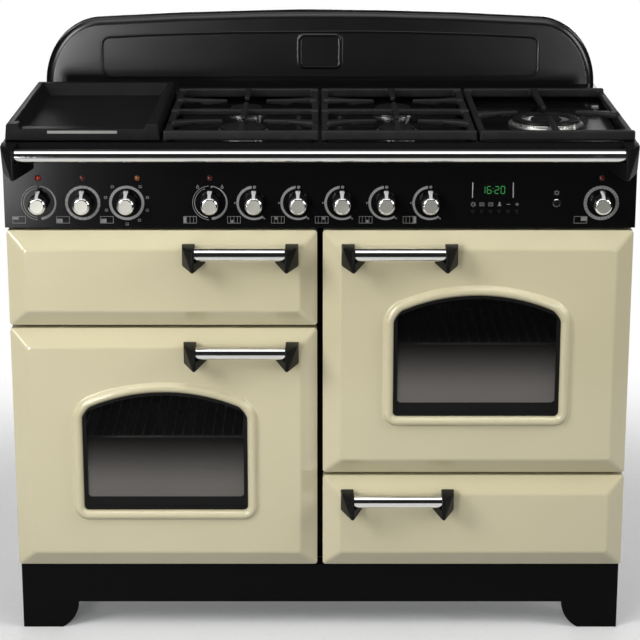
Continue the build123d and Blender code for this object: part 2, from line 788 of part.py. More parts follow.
def support_sides(centre_x):
    """Add the two side bars of one pan support, each with a leg at both ends."""
    for way in (-1, 1):
        block(sorted((centre_x + way * inner_half_width, centre_x + way * support_width / 2)), support_y, bar_z)
        leg_x = sorted((centre_x + way * (support_width / 2 - leg_width), centre_x + way * support_width / 2))
        for leg_y in ((support_y[0], inner_y[0]), (inner_y[1], support_y[1])):
            block(leg_x, leg_y, (hob_height, bar_z[1]))


def cross_bars(centre_x, spans_y):
    """Add bars from side to side of one pan support."""
    for span_y in spans_y:
        block((centre_x - inner_half_width, centre_x + inner_half_width), span_y, bar_z)


def fingers(centre_x, y, span_y, reach):
    """Add the four fingers that reach in towards one burner."""
    for way in (-1, 1):
        block(sorted((centre_x + way * reach, centre_x + way * inner_half_width)),
              (y - half_bar, y + half_bar), bar_z)
    for near, far in ((y - reach, span_y[0]), (y + reach, span_y[1])):
        block((centre_x - half_bar, centre_x + half_bar), sorted((near, far)), bar_z)


end_bars = ((support_y[0], inner_y[0]), (inner_y[1], support_y[1]))
mid_y = y_front + (front_burner + rear_burner) / 2
mid_bar = (mid_y - half_bar, mid_y + half_bar)
for name, centre_x in (("pan_support_left", modules[1]), ("pan_support_right", modules[2])):
    with BuildPart() as side_bars:
        support_sides(centre_x)
    with BuildPart() as across_bars:
        cross_bars(centre_x, (*end_bars, mid_bar))
    with BuildPart() as burner_fingers:
        fingers(centre_x, y_front + front_burner, (inner_y[0], mid_bar[0]), finger_reach)
        fingers(centre_x, y_front + rear_burner, (mid_bar[1], inner_y[1]), finger_reach)
    save(name, side_bars, across_bars, burner_fingers)

with BuildPart() as wok_sides:
    support_sides(modules[3])
with BuildPart() as wok_ends:
    cross_bars(modules[3], end_bars)
with BuildPart() as wok_fingers:
    fingers(modules[3], wok_y, inner_y, wok_finger_reach)
save("wok_support", wok_sides, wok_ends, wok_fingers)

griddle_x = (modules[0] - support_width / 2, modules[0] + support_width / 2)
griddle_top = hob_height + griddle_height
with BuildPart() as griddle:
    block(griddle_x, support_y, (hob_height, griddle_top))
    block((griddle_x[0] + griddle_wall, griddle_x[1] - griddle_wall),
          (support_y[0] + griddle_corner, support_y[1] - griddle_wall),
          (hob_height + griddle_floor, griddle_top), Mode.SUBTRACT)
    block((griddle_x[0] + griddle_corner, griddle_x[1] - griddle_corner),
          (support_y[0], support_y[0] + griddle_corner), (griddle_top - griddle_lip, griddle_top),
          Mode.SUBTRACT)
save("griddle", griddle)

# Splashback with its raised panel and plain plaque
splash_half = half_width - splash_side
with BuildPart() as splashback:
    with BuildSketch(front_plane(y_back, 0, hob_height)):
        with BuildLine():
            Line((0, 0), (half_width, 0))
            EllipticalCenterArc((splash_half, 0), splash_side, splash_shoulder, 0, arc_size=90)
            TangentArc((0, splash_shoulder + splash_arch), (splash_half, splash_shoulder), tangent=(1, 0))
            mirror(about=Plane.YZ)
        make_face()
    extrude(amount=splash_thickness)
    y_splash = y_back - splash_thickness
    with BuildSketch(front_plane(y_splash, 0, hob_height + emboss_low)):
        arched_outline(cooker_width - 2 * emboss_inset, emboss_height, emboss_arch, emboss_corner)
    extrude(amount=emboss_rise)
    with BuildSketch(front_plane(y_splash, 0, hob_height + splash_shoulder / 2)):
        RectangleRounded(*plaque_size, emboss_corner)
    extrude(amount=plaque_rise)
save("splashback", splashback)
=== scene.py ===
"""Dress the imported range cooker: enamel fronts, chrome, cast iron, glass and printed controls."""
import math

import bmesh
import bpy
from mathutils import Matrix, Vector


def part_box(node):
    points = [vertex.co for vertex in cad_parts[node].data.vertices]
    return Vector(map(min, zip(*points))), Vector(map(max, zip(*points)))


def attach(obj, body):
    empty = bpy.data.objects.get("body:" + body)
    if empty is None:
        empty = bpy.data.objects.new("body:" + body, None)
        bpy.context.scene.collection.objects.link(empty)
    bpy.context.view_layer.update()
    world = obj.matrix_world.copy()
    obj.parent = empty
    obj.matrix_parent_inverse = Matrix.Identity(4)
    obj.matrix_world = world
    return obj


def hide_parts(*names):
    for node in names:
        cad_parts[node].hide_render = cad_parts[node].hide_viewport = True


bl_info = {
    "name": "Range Cooker Dresser",
    "version": (1, 0, 0),
    "blender": (4, 5, 0),
    "location": "View3D > Sidebar > Cooker",
    "description": "Builds the visible pieces of a dual fuel range cooker around its packed frame",
    "category": "Add Mesh",
}

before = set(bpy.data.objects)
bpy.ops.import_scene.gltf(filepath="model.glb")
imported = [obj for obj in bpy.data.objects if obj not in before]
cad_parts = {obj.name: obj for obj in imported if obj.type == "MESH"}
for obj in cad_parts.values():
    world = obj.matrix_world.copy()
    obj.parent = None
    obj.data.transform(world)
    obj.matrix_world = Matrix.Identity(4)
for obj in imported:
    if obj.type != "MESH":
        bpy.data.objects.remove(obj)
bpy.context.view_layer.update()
MM = 0.001
BODY = "cooker_body"


def span(node):
    """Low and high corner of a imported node, in millimetres."""
    low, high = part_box(node)
    return low / MM, high / MM


def middle_of(node):
    """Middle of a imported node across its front, as x and z."""
    low, high = span(node)
    return (low.x + high.x) / 2, (low.z + high.z) / 2


Y_FRONT = span("control_panel")[0].y
Y_FACE = span("grill_handle")[1].y
Y_FLANGE = span("grill_front")[1].y
Y_BACK = span("hob_top")[1].y
HOB = span("hob_top")[1].z
WELL = span("hot_zone_glass")[0].z
KNOB_REACH = 24.0
KNOB_Z = span("grill_knob")[1].z - KNOB_REACH
KNOBS = ("grill_knob", "left_oven_knob", "oven_function_knob", "hot_zone_knob", "front_left_burner_knob",
         "rear_left_burner_knob", "rear_right_burner_knob", "front_right_burner_knob", "wok_burner_knob",
         "right_oven_knob")
TIMERS = 6
BUTTONS = tuple("timer_button_%d" % (step + 1) for step in range(TIMERS)) + ("oven_light_button",)
WINDOW_SILL = 112.0
WINDOW_HALF = 146.0
WINDOW_SPRING = 188.0
WINDOW_ARCH = 34.0
WINDOW_CORNER = 8.0
SHEET = 3.0
LARGE_FACE = 2000.0
SHARP = math.radians(38)
FORWARD = (0, -1, 0)
BACKWARD = (0, 1, 0)
UP = (0, 0, 1)


class FinishColours(bpy.types.PropertyGroup):
    """Colours of the finishes."""
    cream: bpy.props.FloatVectorProperty(name="Cream", description="Enamel on the doors and drawer fronts",
                                         subtype="COLOR", default=(0.600, 0.545, 0.360), min=0, max=1)
    black: bpy.props.FloatVectorProperty(name="Black", subtype="COLOR", default=(0.006, 0.006, 0.0065),
                                         description="Enamel on fascia, hob, splashback and casing",
                                         min=0, max=1)
    iron: bpy.props.FloatVectorProperty(name="Iron", description="Cast pan supports and griddle",
                                        subtype="COLOR", default=(0.016, 0.016, 0.017), min=0, max=1)
    chrome: bpy.props.FloatVectorProperty(name="Chrome", description="Plating on bars and knobs",
                                          subtype="COLOR", default=(0.74, 0.74, 0.73), min=0, max=1)
    print_grey: bpy.props.FloatVectorProperty(name="Print", description="Dial marks on the fascia",
                                              subtype="COLOR", default=(0.185, 0.185, 0.180), min=0, max=1)
    lamp: bpy.props.FloatVectorProperty(name="Lamp", description="Indicator lamp lens",
                                        subtype="COLOR", default=(0.75, 0.03, 0.015), min=0, max=1)
    amber: bpy.props.FloatVectorProperty(name="Amber", description="Amber lamp lens",
                                         subtype="COLOR", default=(0.85, 0.22, 0.02), min=0, max=1)
    digits: bpy.props.FloatVectorProperty(name="Digits", description="Clock digits",
                                          subtype="COLOR", default=(0.030, 0.170, 0.050), min=0, max=1)


class PieceSizes(bpy.types.PropertyGroup):
    """Sizes of the shaped pieces, in metres."""
    bevel: bpy.props.FloatProperty(name="Front bevel", description="Width of the slope round a front",
                                   default=0.030, min=0.005, max=0.06, subtype="DISTANCE", unit="LENGTH")
    moulding: bpy.props.FloatProperty(name="Moulding", description="Width of the bead round a window",
                                      default=0.0195, min=0.005, max=0.04, subtype="DISTANCE", unit="LENGTH")
    moulding_rise: bpy.props.FloatProperty(name="Moulding rise", description="Height of the window bead",
                                           default=0.009, min=0.002, max=0.02, subtype="DISTANCE",
                                           unit="LENGTH")
    bar: bpy.props.FloatProperty(name="Bar radius", description="Radius of handles and handrail",
                                 default=0.011, min=0.004, max=0.02, subtype="DISTANCE", unit="LENGTH")
    dial: bpy.props.FloatProperty(name="Dial radius", description="Outer radius of the printed rings",
                                  default=0.0305, min=0.02, max=0.04, subtype="DISTANCE", unit="LENGTH")
    soft: bpy.props.FloatProperty(name="Cast edge", description="Rounding on cast edges",
                                  default=0.0022, min=0.0005, max=0.005, subtype="DISTANCE", unit="LENGTH")


class StageSettings(bpy.types.PropertyGroup):
    """Camera and light."""
    camera_back: bpy.props.FloatProperty(name="Camera distance", description="Camera in front of the middle",
                                         default=3.677, min=1, max=12, subtype="DISTANCE", unit="LENGTH")
    camera_up: bpy.props.FloatProperty(name="Camera height", description="Camera above the floor",
                                       default=1.618, min=0.2, max=6, subtype="DISTANCE", unit="LENGTH")
    tilt: bpy.props.FloatProperty(name="Tilt", description="How far the camera looks down",
                                  default=math.radians(14.62), min=-1, max=1.5, subtype="ANGLE",
                                  unit="ROTATION")
    lens: bpy.props.FloatProperty(name="Lens", description="Focal length on a 36 mm sensor",
                                  default=114.2, min=20, max=300, subtype="DISTANCE_CAMERA")
    shift: bpy.props.FloatProperty(name="Shift", description="Vertical lens shift", default=-0.12,
                                   min=-0.5, max=0.5, subtype="FACTOR")
    power: bpy.props.FloatProperty(name="Light", description="Strength of the soft lights", default=1.0,
                                   min=0.05, max=5, subtype="FACTOR")


# Shader building
class Signal:
    """A shader socket that takes part in Python arithmetic."""

    def __init__(self, recipe, socket):
        self.recipe = recipe
        self.socket = socket

    def __add__(self, other):
        return self.recipe.maths("ADD", self, other)

    def __radd__(self, other):
        return self.recipe.maths("ADD", other, self)

    def __sub__(self, other):
        return self.recipe.maths("SUBTRACT", self, other)

    def __rsub__(self, other):
        return self.recipe.maths("SUBTRACT", other, self)

    def __mul__(self, other):
        return self.recipe.maths("MULTIPLY", self, other)

    def __rmul__(self, other):
        return self.recipe.maths("MULTIPLY", other, self)


class Recipe:
    """One finish, or the world's light: its node tree and the nodes added to it."""

    def __init__(self, owner):
        self.material = owner
        owner.use_nodes = True
        self.tree = owner.node_tree
        self.shader = self.tree.nodes.get("Principled BSDF") or self.tree.nodes["Background"]
        self.where = self.node("ShaderNodeTexCoord", output="Object")

    def node(self, kind, settings=None, inputs=None, output=0):
        """Add a node: settings first, then values or links on its sockets."""
        made = self.tree.nodes.new(kind)
        for key, value in (settings or {}).items():
            setattr(made, key, value)
        for key, value in (inputs or {}).items():
            self.plug(made.inputs[key], value)
        return Signal(self, made.outputs[output])

    def plug(self, socket, value):
        """Link a signal to a socket, or set a plain value on it."""
        if isinstance(value, Signal):
            self.tree.links.new(value.socket, socket)
        elif socket.type == "RGBA" and len(value) == 3:
            socket.default_value = (*value, 1.0)
        else:
            socket.default_value = value

    def maths(self, operation, first, second):
        return self.node("ShaderNodeMath", {"operation": operation}, {0: first, 1: second})

    def mix(self, factor, low, high):
        """Blend two colours by a value."""
        return self.node("ShaderNodeMix", {"data_type": "RGBA"}, {0: factor, 6: low, 7: high}, 2)

    def noise(self, size, detail=2.0, rough=0.5, stretch=None):
        """Noise with features of about a size in millimetres."""
        place = self.where
        if stretch:
            place = self.node("ShaderNodeMapping", None, {"Vector": self.where, "Scale": stretch})
        return self.node("ShaderNodeTexNoise", None, {"Vector": place, "Scale": 1000.0 / size,
                                                     "Detail": detail, "Roughness": rough})

    def cells(self, size):
        """Patches of random colour, of about a size in millimetres."""
        inputs = {"Vector": self.where, "Scale": 1000.0 / size}
        return self.node("ShaderNodeTexVoronoi", None, inputs, "Color")

    def along(self, axis, where=None):
        """One coordinate of a place."""
        return self.node("ShaderNodeSeparateXYZ", None, {0: where or self.where}, axis)

    def ray(self, kind):
        """1 on rays of one kind."""
        return self.node("ShaderNodeLightPath", output="Is %s Ray" % kind)

    def mirrored(self):
        """1 on rays that come by way of a mirror or of glass."""
        return self.larger(self.ray("Glossy"), self.ray("Transmission"))

    def larger(self, first, second):
        return self.maths("MAXIMUM", first, second)

    def steps(self, value, low, high):
        """A smooth step from 0 at low to 1 at high."""
        return self.node("ShaderNodeMapRange", {"interpolation_type": "SMOOTHSTEP"},
                         {"Value": value, "From Min": low, "From Max": high})

    def bump(self, height, strength, distance):
        """Feed a height into the normal, with the distance in millimetres."""
        bumped = self.node("ShaderNodeBump", None, {"Height": height, "Strength": strength,
                                                    "Distance": distance * MM})
        self.set(Normal=bumped)

    def set(self, **values):
        """Set sockets of the main shader, with underscores for spaces."""
        for key, value in values.items():
            self.plug(self.shader.inputs[key.replace("_", " ")], value)


FINISHES = {}


def shade(colour, amount):
    """A colour made lighter or darker by a factor."""
    return tuple(min(1.0, part * amount) for part in colour)


def enamel(name, colour, rough, peel, coat, shine=0.5):
    """Vitreous enamel: clouded colour, faint orange peel and a clear top."""
    recipe = Recipe(bpy.data.materials.new(name))
    cloud = recipe.noise(220, 3.0)
    fleck = recipe.noise(2.2, 2.0, 0.6)
    tone = recipe.mix(cloud, shade(colour, 0.95), shade(colour, 1.05))
    recipe.set(Base_Color=recipe.mix(recipe.steps(fleck, 0.62, 0.72) * 0.25, tone, shade(colour, 0.82)))
    recipe.set(Roughness=rough + 0.05 * recipe.noise(60, 3.0), Coat_Weight=coat, Coat_Roughness=0.04)
    recipe.set(Specular_IOR_Level=shine)
    recipe.bump(recipe.noise(7, 1.0), 0.05, peel)
    return recipe.material


def plate(name, colour, rough, brush):
    """Plated or bare metal with fine marks along one way."""
    recipe = Recipe(bpy.data.materials.new(name))
    marks = recipe.noise(1.2, 2.0, 0.6, brush)
    smear = recipe.noise(45, 3.0)
    recipe.set(Base_Color=recipe.mix(smear, shade(colour, 0.93), shade(colour, 1.04)), Metallic=1.0)
    recipe.set(Roughness=rough + rough * 0.6 * marks + 0.05 * recipe.steps(smear, 0.5, 0.8))
    recipe.bump(marks, 0.04, 0.05)
    return recipe.material


def cast(name, colour, rough, grain, shine):
    """Sand-cast iron: pitted grain, paler worn highs."""
    recipe = Recipe(bpy.data.materials.new(name))
    pits = recipe.noise(grain, 5.0, 0.62)
    wear = recipe.noise(28, 4.0)
    worn = recipe.mix(recipe.steps(wear, 0.45, 0.75), colour, shade(colour, 1.9))
    recipe.set(Base_Color=recipe.mix(recipe.steps(pits, 0.35, 0.65), shade(colour, 0.6), worn))
    recipe.set(Roughness=rough + 0.18 * pits, Specular_IOR_Level=shine)
    recipe.bump(pits, 0.35, 0.35)
    return recipe.material


def galvanised(name, colour):
    """Zinc-coated sheet with spangle."""
    recipe = Recipe(bpy.data.materials.new(name))
    spangle = recipe.cells(16)
    grey = recipe.node("ShaderNodeRGBToBW", None, {"Color": spangle})
    recipe.set(Base_Color=recipe.mix(grey, shade(colour, 0.78), shade(colour, 1.12)), Metallic=1.0)
    recipe.set(Roughness=0.34 + 0.16 * grey + 0.06 * recipe.noise(9, 3.0))
    recipe.bump(recipe.noise(18, 3.0), 0.06, 0.2)
    return recipe.material


def speckled(name, colour):
    """Dark oven enamel with pale flecks."""
    recipe = Recipe(bpy.data.materials.new(name))
    fleck = recipe.steps(recipe.noise(1.3, 2.0, 0.7), 0.56, 0.66)
    bake = recipe.noise(70, 4.0)
    base = recipe.mix(bake, shade(colour, 0.7), shade(colour, 1.3))
    recipe.set(Base_Color=recipe.mix(fleck, base, (0.075, 0.077, 0.080)))
    recipe.set(Roughness=0.22 + 0.14 * bake)
    recipe.bump(recipe.noise(9, 2.0), 0.06, 0.15)
    return recipe.material


def moulded(name, colour, rough, shine=0.5):
    """Moulded plastic or rubber with a fine grain."""
    recipe = Recipe(bpy.data.materials.new(name))
    grain = recipe.noise(0.9, 3.0, 0.6)
    cloud = recipe.noise(30, 2.0)
    recipe.set(Base_Color=recipe.mix(cloud, shade(colour, 0.85), shade(colour, 1.2)))
    recipe.set(Roughness=rough + 0.10 * grain, Specular_IOR_Level=shine)
    recipe.bump(grain, 0.10, 0.04)
    return recipe.material


def lamp_lens(name, colour, glow):
    """Coloured lens that glows from its middle."""
    recipe = Recipe(bpy.data.materials.new(name))
    ripple = recipe.noise(1.5, 1.0)
    recipe.set(Base_Color=recipe.mix(ripple, shade(colour, 0.7), colour), Roughness=0.08 + 0.05 * ripple)
    recipe.set(Emission_Color=recipe.mix(ripple, shade(colour, 0.6), colour), Emission_Strength=glow)
    return recipe.material


def smoked_glass(name, density, reflection_heights=None):
    """Dark glass that lets a little through, with a painted reflection that makes it paler grey and less
    clear from the sill up, fading out between two given heights.
    """
    recipe = Recipe(bpy.data.materials.new(name))
    smear = recipe.noise(90, 3.0)
    tint = recipe.mix(smear, (0.003, 0.003, 0.003), (0.006, 0.006, 0.006))
    cover = density + 0.05 * smear
    if reflection_heights:
        # Painted reflection: paler grey and less clear towards the bottom of the window.
        painted_reflection = 1.0 - recipe.steps(recipe.along("Z"), *reflection_heights)
        tint = recipe.mix(painted_reflection, tint, (0.145, 0.136, 0.127))
        cover = cover + 0.52 * painted_reflection
    recipe.set(Base_Color=tint, Roughness=0.02 + 0.03 * smear, Alpha=cover, IOR=1.5)
    recipe.set(Specular_IOR_Level=0.07)
    return recipe.material


def window_place(side):
    """Middle and sill of one door window."""
    low, high = span(side + "_oven_door")
    return (low.x + high.x) / 2, low.z + WINDOW_SILL


# Heights above the sill between which the painted reflection on a window fades out, in millimetres.
REFLECTION_LOW = 40.0
REFLECTION_HIGH = 150.0


def window_reflection_heights(side):
    """Heights between which the painted reflection on one door window fades, in metres."""
    sill = window_place(side)[1]
    return (sill + REFLECTION_LOW) * MM, (sill + REFLECTION_HIGH) * MM


def make_finishes():
    """Build every finish once, from the colours on the scene."""
    colours = bpy.context.scene.cooker_colours
    black = tuple(colours.black)
    iron = tuple(colours.iron)
    chrome = tuple(colours.chrome)
    FINISHES.update(
        cream=enamel("cream_enamel", tuple(colours.cream), 0.13, 0.06, 0.5),
        black=enamel("black_enamel", shade(black, 0.55), 0.12, 0.01, 0.0, 0.26),
        splash=enamel("splashback_enamel", shade(black, 0.45), 0.23, 0.02, 0.0, 0.5),
        satin_black=enamel("black_satin_enamel", shade(black, 0.45), 0.34, 0.08, 0.0, 0.05),
        bracket=moulded("black_bracket", shade(black, 0.7), 0.36, 0.10),
        rubber=moulded("black_rubber", (0.005, 0.005, 0.005), 0.5, 0.12),
        cast=cast("cast_iron", shade(iron, 0.70), 0.42, 1.4, 0.24),
        griddle=cast("griddle_iron", shade(iron, 0.36), 0.42, 2.2, 0.14),
        cap=enamel("cap_enamel", shade(black, 1.3), 0.34, 0.2, 0.0, 0.16),
        chrome=plate("bright_chrome", chrome, 0.05, (1.0, 1.0, 1.0)),
        satin=plate("satin_chrome", (0.46, 0.455, 0.41), 0.32, (1.0, 1.0, 8.0)),
        # Pale ground metal for the griddle's pouring lip, kept paler than the cast so that it also paints the
        # highlight on the lip.
        ground=plate("ground_iron", (0.26, 0.26, 0.25), 0.40, (8.0, 1.0, 1.0)),
        alloy=plate("burner_alloy", (0.72, 0.72, 0.70), 0.26, (1.0, 1.0, 6.0)),
        wire=plate("shelf_wire", (0.80, 0.79, 0.77), 0.34, (1.0, 1.0, 1.0)),
        brass=plate("brass_fitting", (0.62, 0.46, 0.20), 0.24, (1.0, 4.0, 1.0)),
        zinc=galvanised("galvanised_steel", (0.52, 0.53, 0.54)),
        oven=speckled("oven_enamel", (0.020, 0.020, 0.021)),
        # The door windows carry a painted reflection, paler towards the sill.
        left_glass=smoked_glass("left_smoked_glass", 0.34, window_reflection_heights("left")),
        right_glass=smoked_glass("right_smoked_glass", 0.34, window_reflection_heights("right")),
        inner_glass=smoked_glass("inner_door_glass", 0.10),
        ceramic=smoked_glass("ceramic_glass", 0.93),
        ink=moulded("dial_print", tuple(colours.print_grey), 0.45),
        red=lamp_lens("red_lamp", shade(colours.lamp, 0.09), 0.10),
        red_lit=lamp_lens("red_lamp_lit", shade(colours.lamp, 0.30), 0.4),
        amber=lamp_lens("amber_lamp", shade(colours.amber, 0.18), 0.35),
        digits=lamp_lens("clock_digits", tuple(colours.digits), 1.0),
        ceramic_white=moulded("electrode_ceramic", (0.72, 0.70, 0.66), 0.35),
    )


# Mesh building, in millimetres until a piece is placed
def start():
    return bmesh.new()


def block(bm, low, high):
    """Add a box between two corners."""
    low = Vector(low)
    high = Vector(high)
    size = high - low
    place = Matrix.Translation((low + high) / 2) @ Matrix.Diagonal((*size, 1.0))
    bmesh.ops.create_cube(bm, size=1.0, matrix=place)


def polygon(bm, points):
    """Add one flat face from a few corner points."""
    return bm.faces.new([bm.verts.new(point) for point in points])


def oblong(x_low, x_high, z_low, z_high):
    """The (x, z) corners of an upright rectangle."""
    return [(x_low, z_low), (x_high, z_low), (x_high, z_high), (x_low, z_high)]


def upright(bm, points, y):
    """Add one flat face that stands upright at a depth, from its (x, z) corners."""
    return polygon(bm, [(x, y, z) for x, z in points])


def move(bm, verts, way):
    bmesh.ops.translate(bm, verts=list(verts), vec=Vector(way))


def outward(bm, faces=None):
    """Turn faces outwards."""
    bmesh.ops.recalc_face_normals(bm, faces=bm.faces if faces is None else faces)


def ease(bm, parts, width, segments, affect="EDGES"):
    """Round edges, or the corners of a flat face."""
    return bmesh.ops.bevel(bm, geom=parts, offset=width, offset_type="OFFSET", segments=segments, profile=0.5,
                           affect=affect, clamp_overlap=True, material=-1)


def only(kind, parts):
    """The vertices or the faces among mixed parts of a mesh."""
    return [part for part in parts if isinstance(part, kind)]


def pull(bm, faces, way):
    """Give flat faces a thickness by extruding them along a vector."""
    made = bmesh.ops.extrude_face_region(bm, geom=list(faces), use_keep_orig=True)["geom"]
    move(bm, only(bmesh.types.BMVert, made), way)
    return only(bmesh.types.BMFace, made)


def neighbours(ring):
    """The faces that share an edge with any of some faces."""
    return {near for face in ring for edge in face.edges for near in edge.link_faces}


def extent(faces):
    """Low and high corner of some faces."""
    points = [vert.co for face in faces for vert in face.verts]
    low = Vector([min(point[axis] for point in points) for axis in range(3)])
    high = Vector([max(point[axis] for point in points) for axis in range(3)])
    return low, high


def outermost(bm, way):
    """The large face that stands furthest to the front (-1) or to the rear (1)."""
    large = [face for face in bm.faces if face.calc_area() > LARGE_FACE]
    return max(large, key=lambda face: way * face.calc_center_median().y)


def inset(bm, face, thickness):
    """Inset one face, which stays as the inner face, and give back the rim round it."""
    bm.normal_update()
    made = bmesh.ops.inset_region(bm, faces=[face], thickness=thickness, depth=0.0, use_even_offset=True,
                                  use_boundary=True)
    return made["faces"]


def turned(bm, profile, centre, axis, steps, across=(1, 0, 0)):
    """Spin a profile of (radius, distance along the axis) pairs about an axis."""
    centre = Vector(centre)
    axis = Vector(axis)
    across = Vector(across)
    verts = [bm.verts.new(centre + across * radius + axis * along) for radius, along in profile]
    edges = [bm.edges.new(pair) for pair in zip(verts, verts[1:])]
    made = bmesh.ops.spin(bm, geom=verts + edges, cent=centre, axis=axis, angle=math.tau, steps=steps,
                          use_merge=True)
    parts = set(verts) | set(only(bmesh.types.BMVert, made["geom_last"]))
    ring = {face for vert in parts for face in vert.link_faces}
    reached = set(ring)
    while ring:
        ring = neighbours(ring) - reached
        reached |= ring
    corners = list({vert for face in reached for vert in face.verts})
    bmesh.ops.remove_doubles(bm, verts=corners, dist=0.001)
    faces = [face for face in reached if face.is_valid]
    outward(bm, faces)
    return faces


def copy_of(node):
    """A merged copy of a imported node's mesh, with its flat faces made whole."""
    bm = bmesh.new()
    bm.from_mesh(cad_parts[node].data)
    bmesh.ops.scale(bm, vec=(1 / MM,) * 3, verts=bm.verts)
    bmesh.ops.remove_doubles(bm, verts=bm.verts, dist=0.01)
    bmesh.ops.dissolve_limit(bm, angle_limit=math.radians(1.0), verts=bm.verts, edges=bm.edges)
    for face in bm.faces:
        face.material_index = 0
    return bm


def soften(bm, width, segments=3, least=30, edges=None):
    """Round every edge that is sharper than an angle."""
    chosen = edges if edges is not None else bm.edges
    sharp = [edge for edge in chosen
             if len(edge.link_faces) == 2 and edge.calc_face_angle(0.0) > math.radians(least)]
    if sharp:
        ease(bm, sharp, width, segments)


def groups(bm):
    """The separate shells of a mesh, each as a list of faces."""
    left = set(bm.faces)
    found = []
    while left:
        ring = {left.pop()}
        shell = set(ring)
        while ring:
            ring = neighbours(ring) & left
            left -= ring
            shell |= ring
        found.append(list(shell))
    return found


def shells_by_area(bm):
    """The separate shells of a mesh, the smallest first."""
    return sorted(groups(bm), key=lambda shell: sum(face.calc_area() for face in shell))


def place(name, bm, finishes, body, stands_for=(), slot=None, weighted=True):
    """Turn a finished mesh into a piece of the cooker that rides on a body."""
    if not bm.faces:
        raise RuntimeError("piece %s has no faces" % name)
    bmesh.ops.scale(bm, vec=(MM,) * 3, verts=bm.verts)
    mesh = bpy.data.meshes.new(name)
    bm.to_mesh(mesh)
    bm.free()
    mesh.shade_smooth()
    mesh.set_sharp_from_angle(angle=SHARP)
    for finish in finishes:
        mesh.materials.append(FINISHES[finish])
    piece = bpy.data.objects.new(name, mesh)
    bpy.context.scene.collection.objects.link(piece)
    if weighted:
        normals = piece.modifiers.new("Even normals", "WEIGHTED_NORMAL")
        normals.keep_sharp = True
    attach(piece, body)
    if stands_for:
        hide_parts(*stands_for)
    return piece


def dress(node, finish):
    """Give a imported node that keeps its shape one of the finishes."""
    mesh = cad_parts[node].data
    mesh.materials.clear()
    mesh.materials.append(FINISHES[finish])


def cloned(name, node, finish, body, slot, width, segments=3, least=30):
    """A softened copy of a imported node."""
    bm = copy_of(node)
    soften(bm, width, segments, least)
    place(name, bm, [finish], body, [node], slot)


def arch_rise(x, half, rise):
    """Height of a shallow arch above its springing at a place across it."""
    radius = (half * half + rise * rise) / (2 * rise)
    return math.sqrt(max(0.0, radius * radius - x * x)) - (radius - rise)


def arched_face(bm, centre_x, y, low_z, half, spring, rise, corner):
    """Add a flat arched face that looks to the front, with rounded corners."""
    face = upright(bm, oblong(centre_x - half, centre_x + half, low_z, low_z + spring), y)
    rounded = ease(bm, list(face.verts), corner, 7, "VERTICES")
    face = max({f for v in rounded["verts"] for f in v.link_faces}, key=lambda f: f.calc_area())
    top = [edge for edge in face.edges if edge.calc_length() > half
           and min(vert.co.z for vert in edge.verts) > low_z + spring - 0.01]
    bmesh.ops.subdivide_edges(bm, edges=top, cuts=31)
    for vert in face.verts:
        share = (vert.co.z - (low_z + spring - corner)) / corner
        if share > 0:
            lift = arch_rise(vert.co.x - centre_x, half, rise)
            move(bm, [vert], (0, 0, lift * min(1.0, share)))
    return face


# Door and drawer fronts
FLANGE_CORNER = 5.0
FACE_FOLD = 3.2
FLANGE_FOLD = 5.5


def front_blank(bm, low, high):
    """The pressed blank: square flange, sloping border, flat face."""
    sizes = bpy.context.scene.cooker_sizes
    block(bm, (low.x, Y_FRONT, low.z), (high.x, Y_FLANGE, high.z))
    front = outermost(bm, -1)
    inset(bm, front, sizes.bevel / MM)
    move(bm, front.verts, (0, Y_FACE - Y_FRONT, 0))
    corners = [edge for edge in bm.edges if abs(edge.verts[0].co.y - edge.verts[1].co.y) > 1.0]
    ease(bm, corners, FLANGE_CORNER, 5)


def round_front(bm):
    """Ease the two edges of the sloping border."""
    for level, width in ((Y_FACE, FACE_FOLD), (Y_FRONT, FLANGE_FOLD)):
        fold = [edge for edge in bm.edges if len(edge.link_faces) == 2 and edge.calc_face_angle(0.0) > 0.3
                and all(abs(vert.co.y - level) < 0.01 for vert in edge.verts)]
        ease(bm, fold, width, 4)


MOULDING = ((1.4, 0.3), (1.2, 1.2), (1.2, 2.2), (1.8, 2.7), (2.4, 1.7), (3.05, 0.9), (3.05, -0.9),
            (2.4, -1.7), (1.8, -2.4))
MOULDING_TOP = 9.0
MOULDING_LIP = 2.0
MOULDING_SLOPE = 1.2
GLASS_DEPTH = 6.0


def window_front(bm, low, high, centre_x, sill):
    """A front with an arched opening and its rounded moulding, which follows steps of (width, rise)."""
    sizes = bpy.context.scene.cooker_sizes
    band = sizes.moulding / MM
    scale = sizes.moulding_rise / MM / MOULDING_TOP
    front_blank(bm, low, high)
    round_front(bm)
    spare = [outermost(bm, -1), outermost(bm, 1)]
    radius = (WINDOW_HALF * WINDOW_HALF + WINDOW_ARCH * WINDOW_ARCH) / (2 * WINDOW_ARCH)
    wide = WINDOW_HALF + band
    drop = radius - WINDOW_ARCH
    lift = math.sqrt((radius + band) ** 2 - wide * wide) - drop
    outer = arched_face(bm, centre_x, Y_FACE, sill - band, wide, WINDOW_SPRING + band + lift,
                        radius + band - drop - lift, WINDOW_CORNER + band)
    for thickness, depth in MOULDING:
        inset(bm, outer, thickness)
        move(bm, outer.verts, (0, -depth * scale, 0))
    inset(bm, outer, MOULDING_SLOPE)
    move(bm, outer.verts, (0, Y_FACE - MOULDING_LIP - outer.verts[0].co.y, 0))
    for depth in (Y_FACE + GLASS_DEPTH, Y_FLANGE):
        spare.append(outer)
        grown = bmesh.ops.extrude_face_region(bm, geom=[outer])["geom"]
        outer = only(bmesh.types.BMFace, grown)[0]
        for vert in outer.verts:
            vert.co.y = depth
    for edge in outer.edges:
        for face in edge.link_faces:
            face.material_index = 1
    spare.append(outer)
    bmesh.ops.delete(bm, geom=[face for face in spare if face.is_valid], context="FACES_ONLY")
    for level in (Y_FACE, Y_FLANGE):
        edges = [edge for edge in bm.edges if len(edge.link_faces) == 1
                 and all(abs(vert.co.y - level) < 0.05 for vert in edge.verts)]
        bmesh.ops.triangle_fill(bm, use_beauty=True, use_dissolve=False, edges=edges)
    outward(bm)


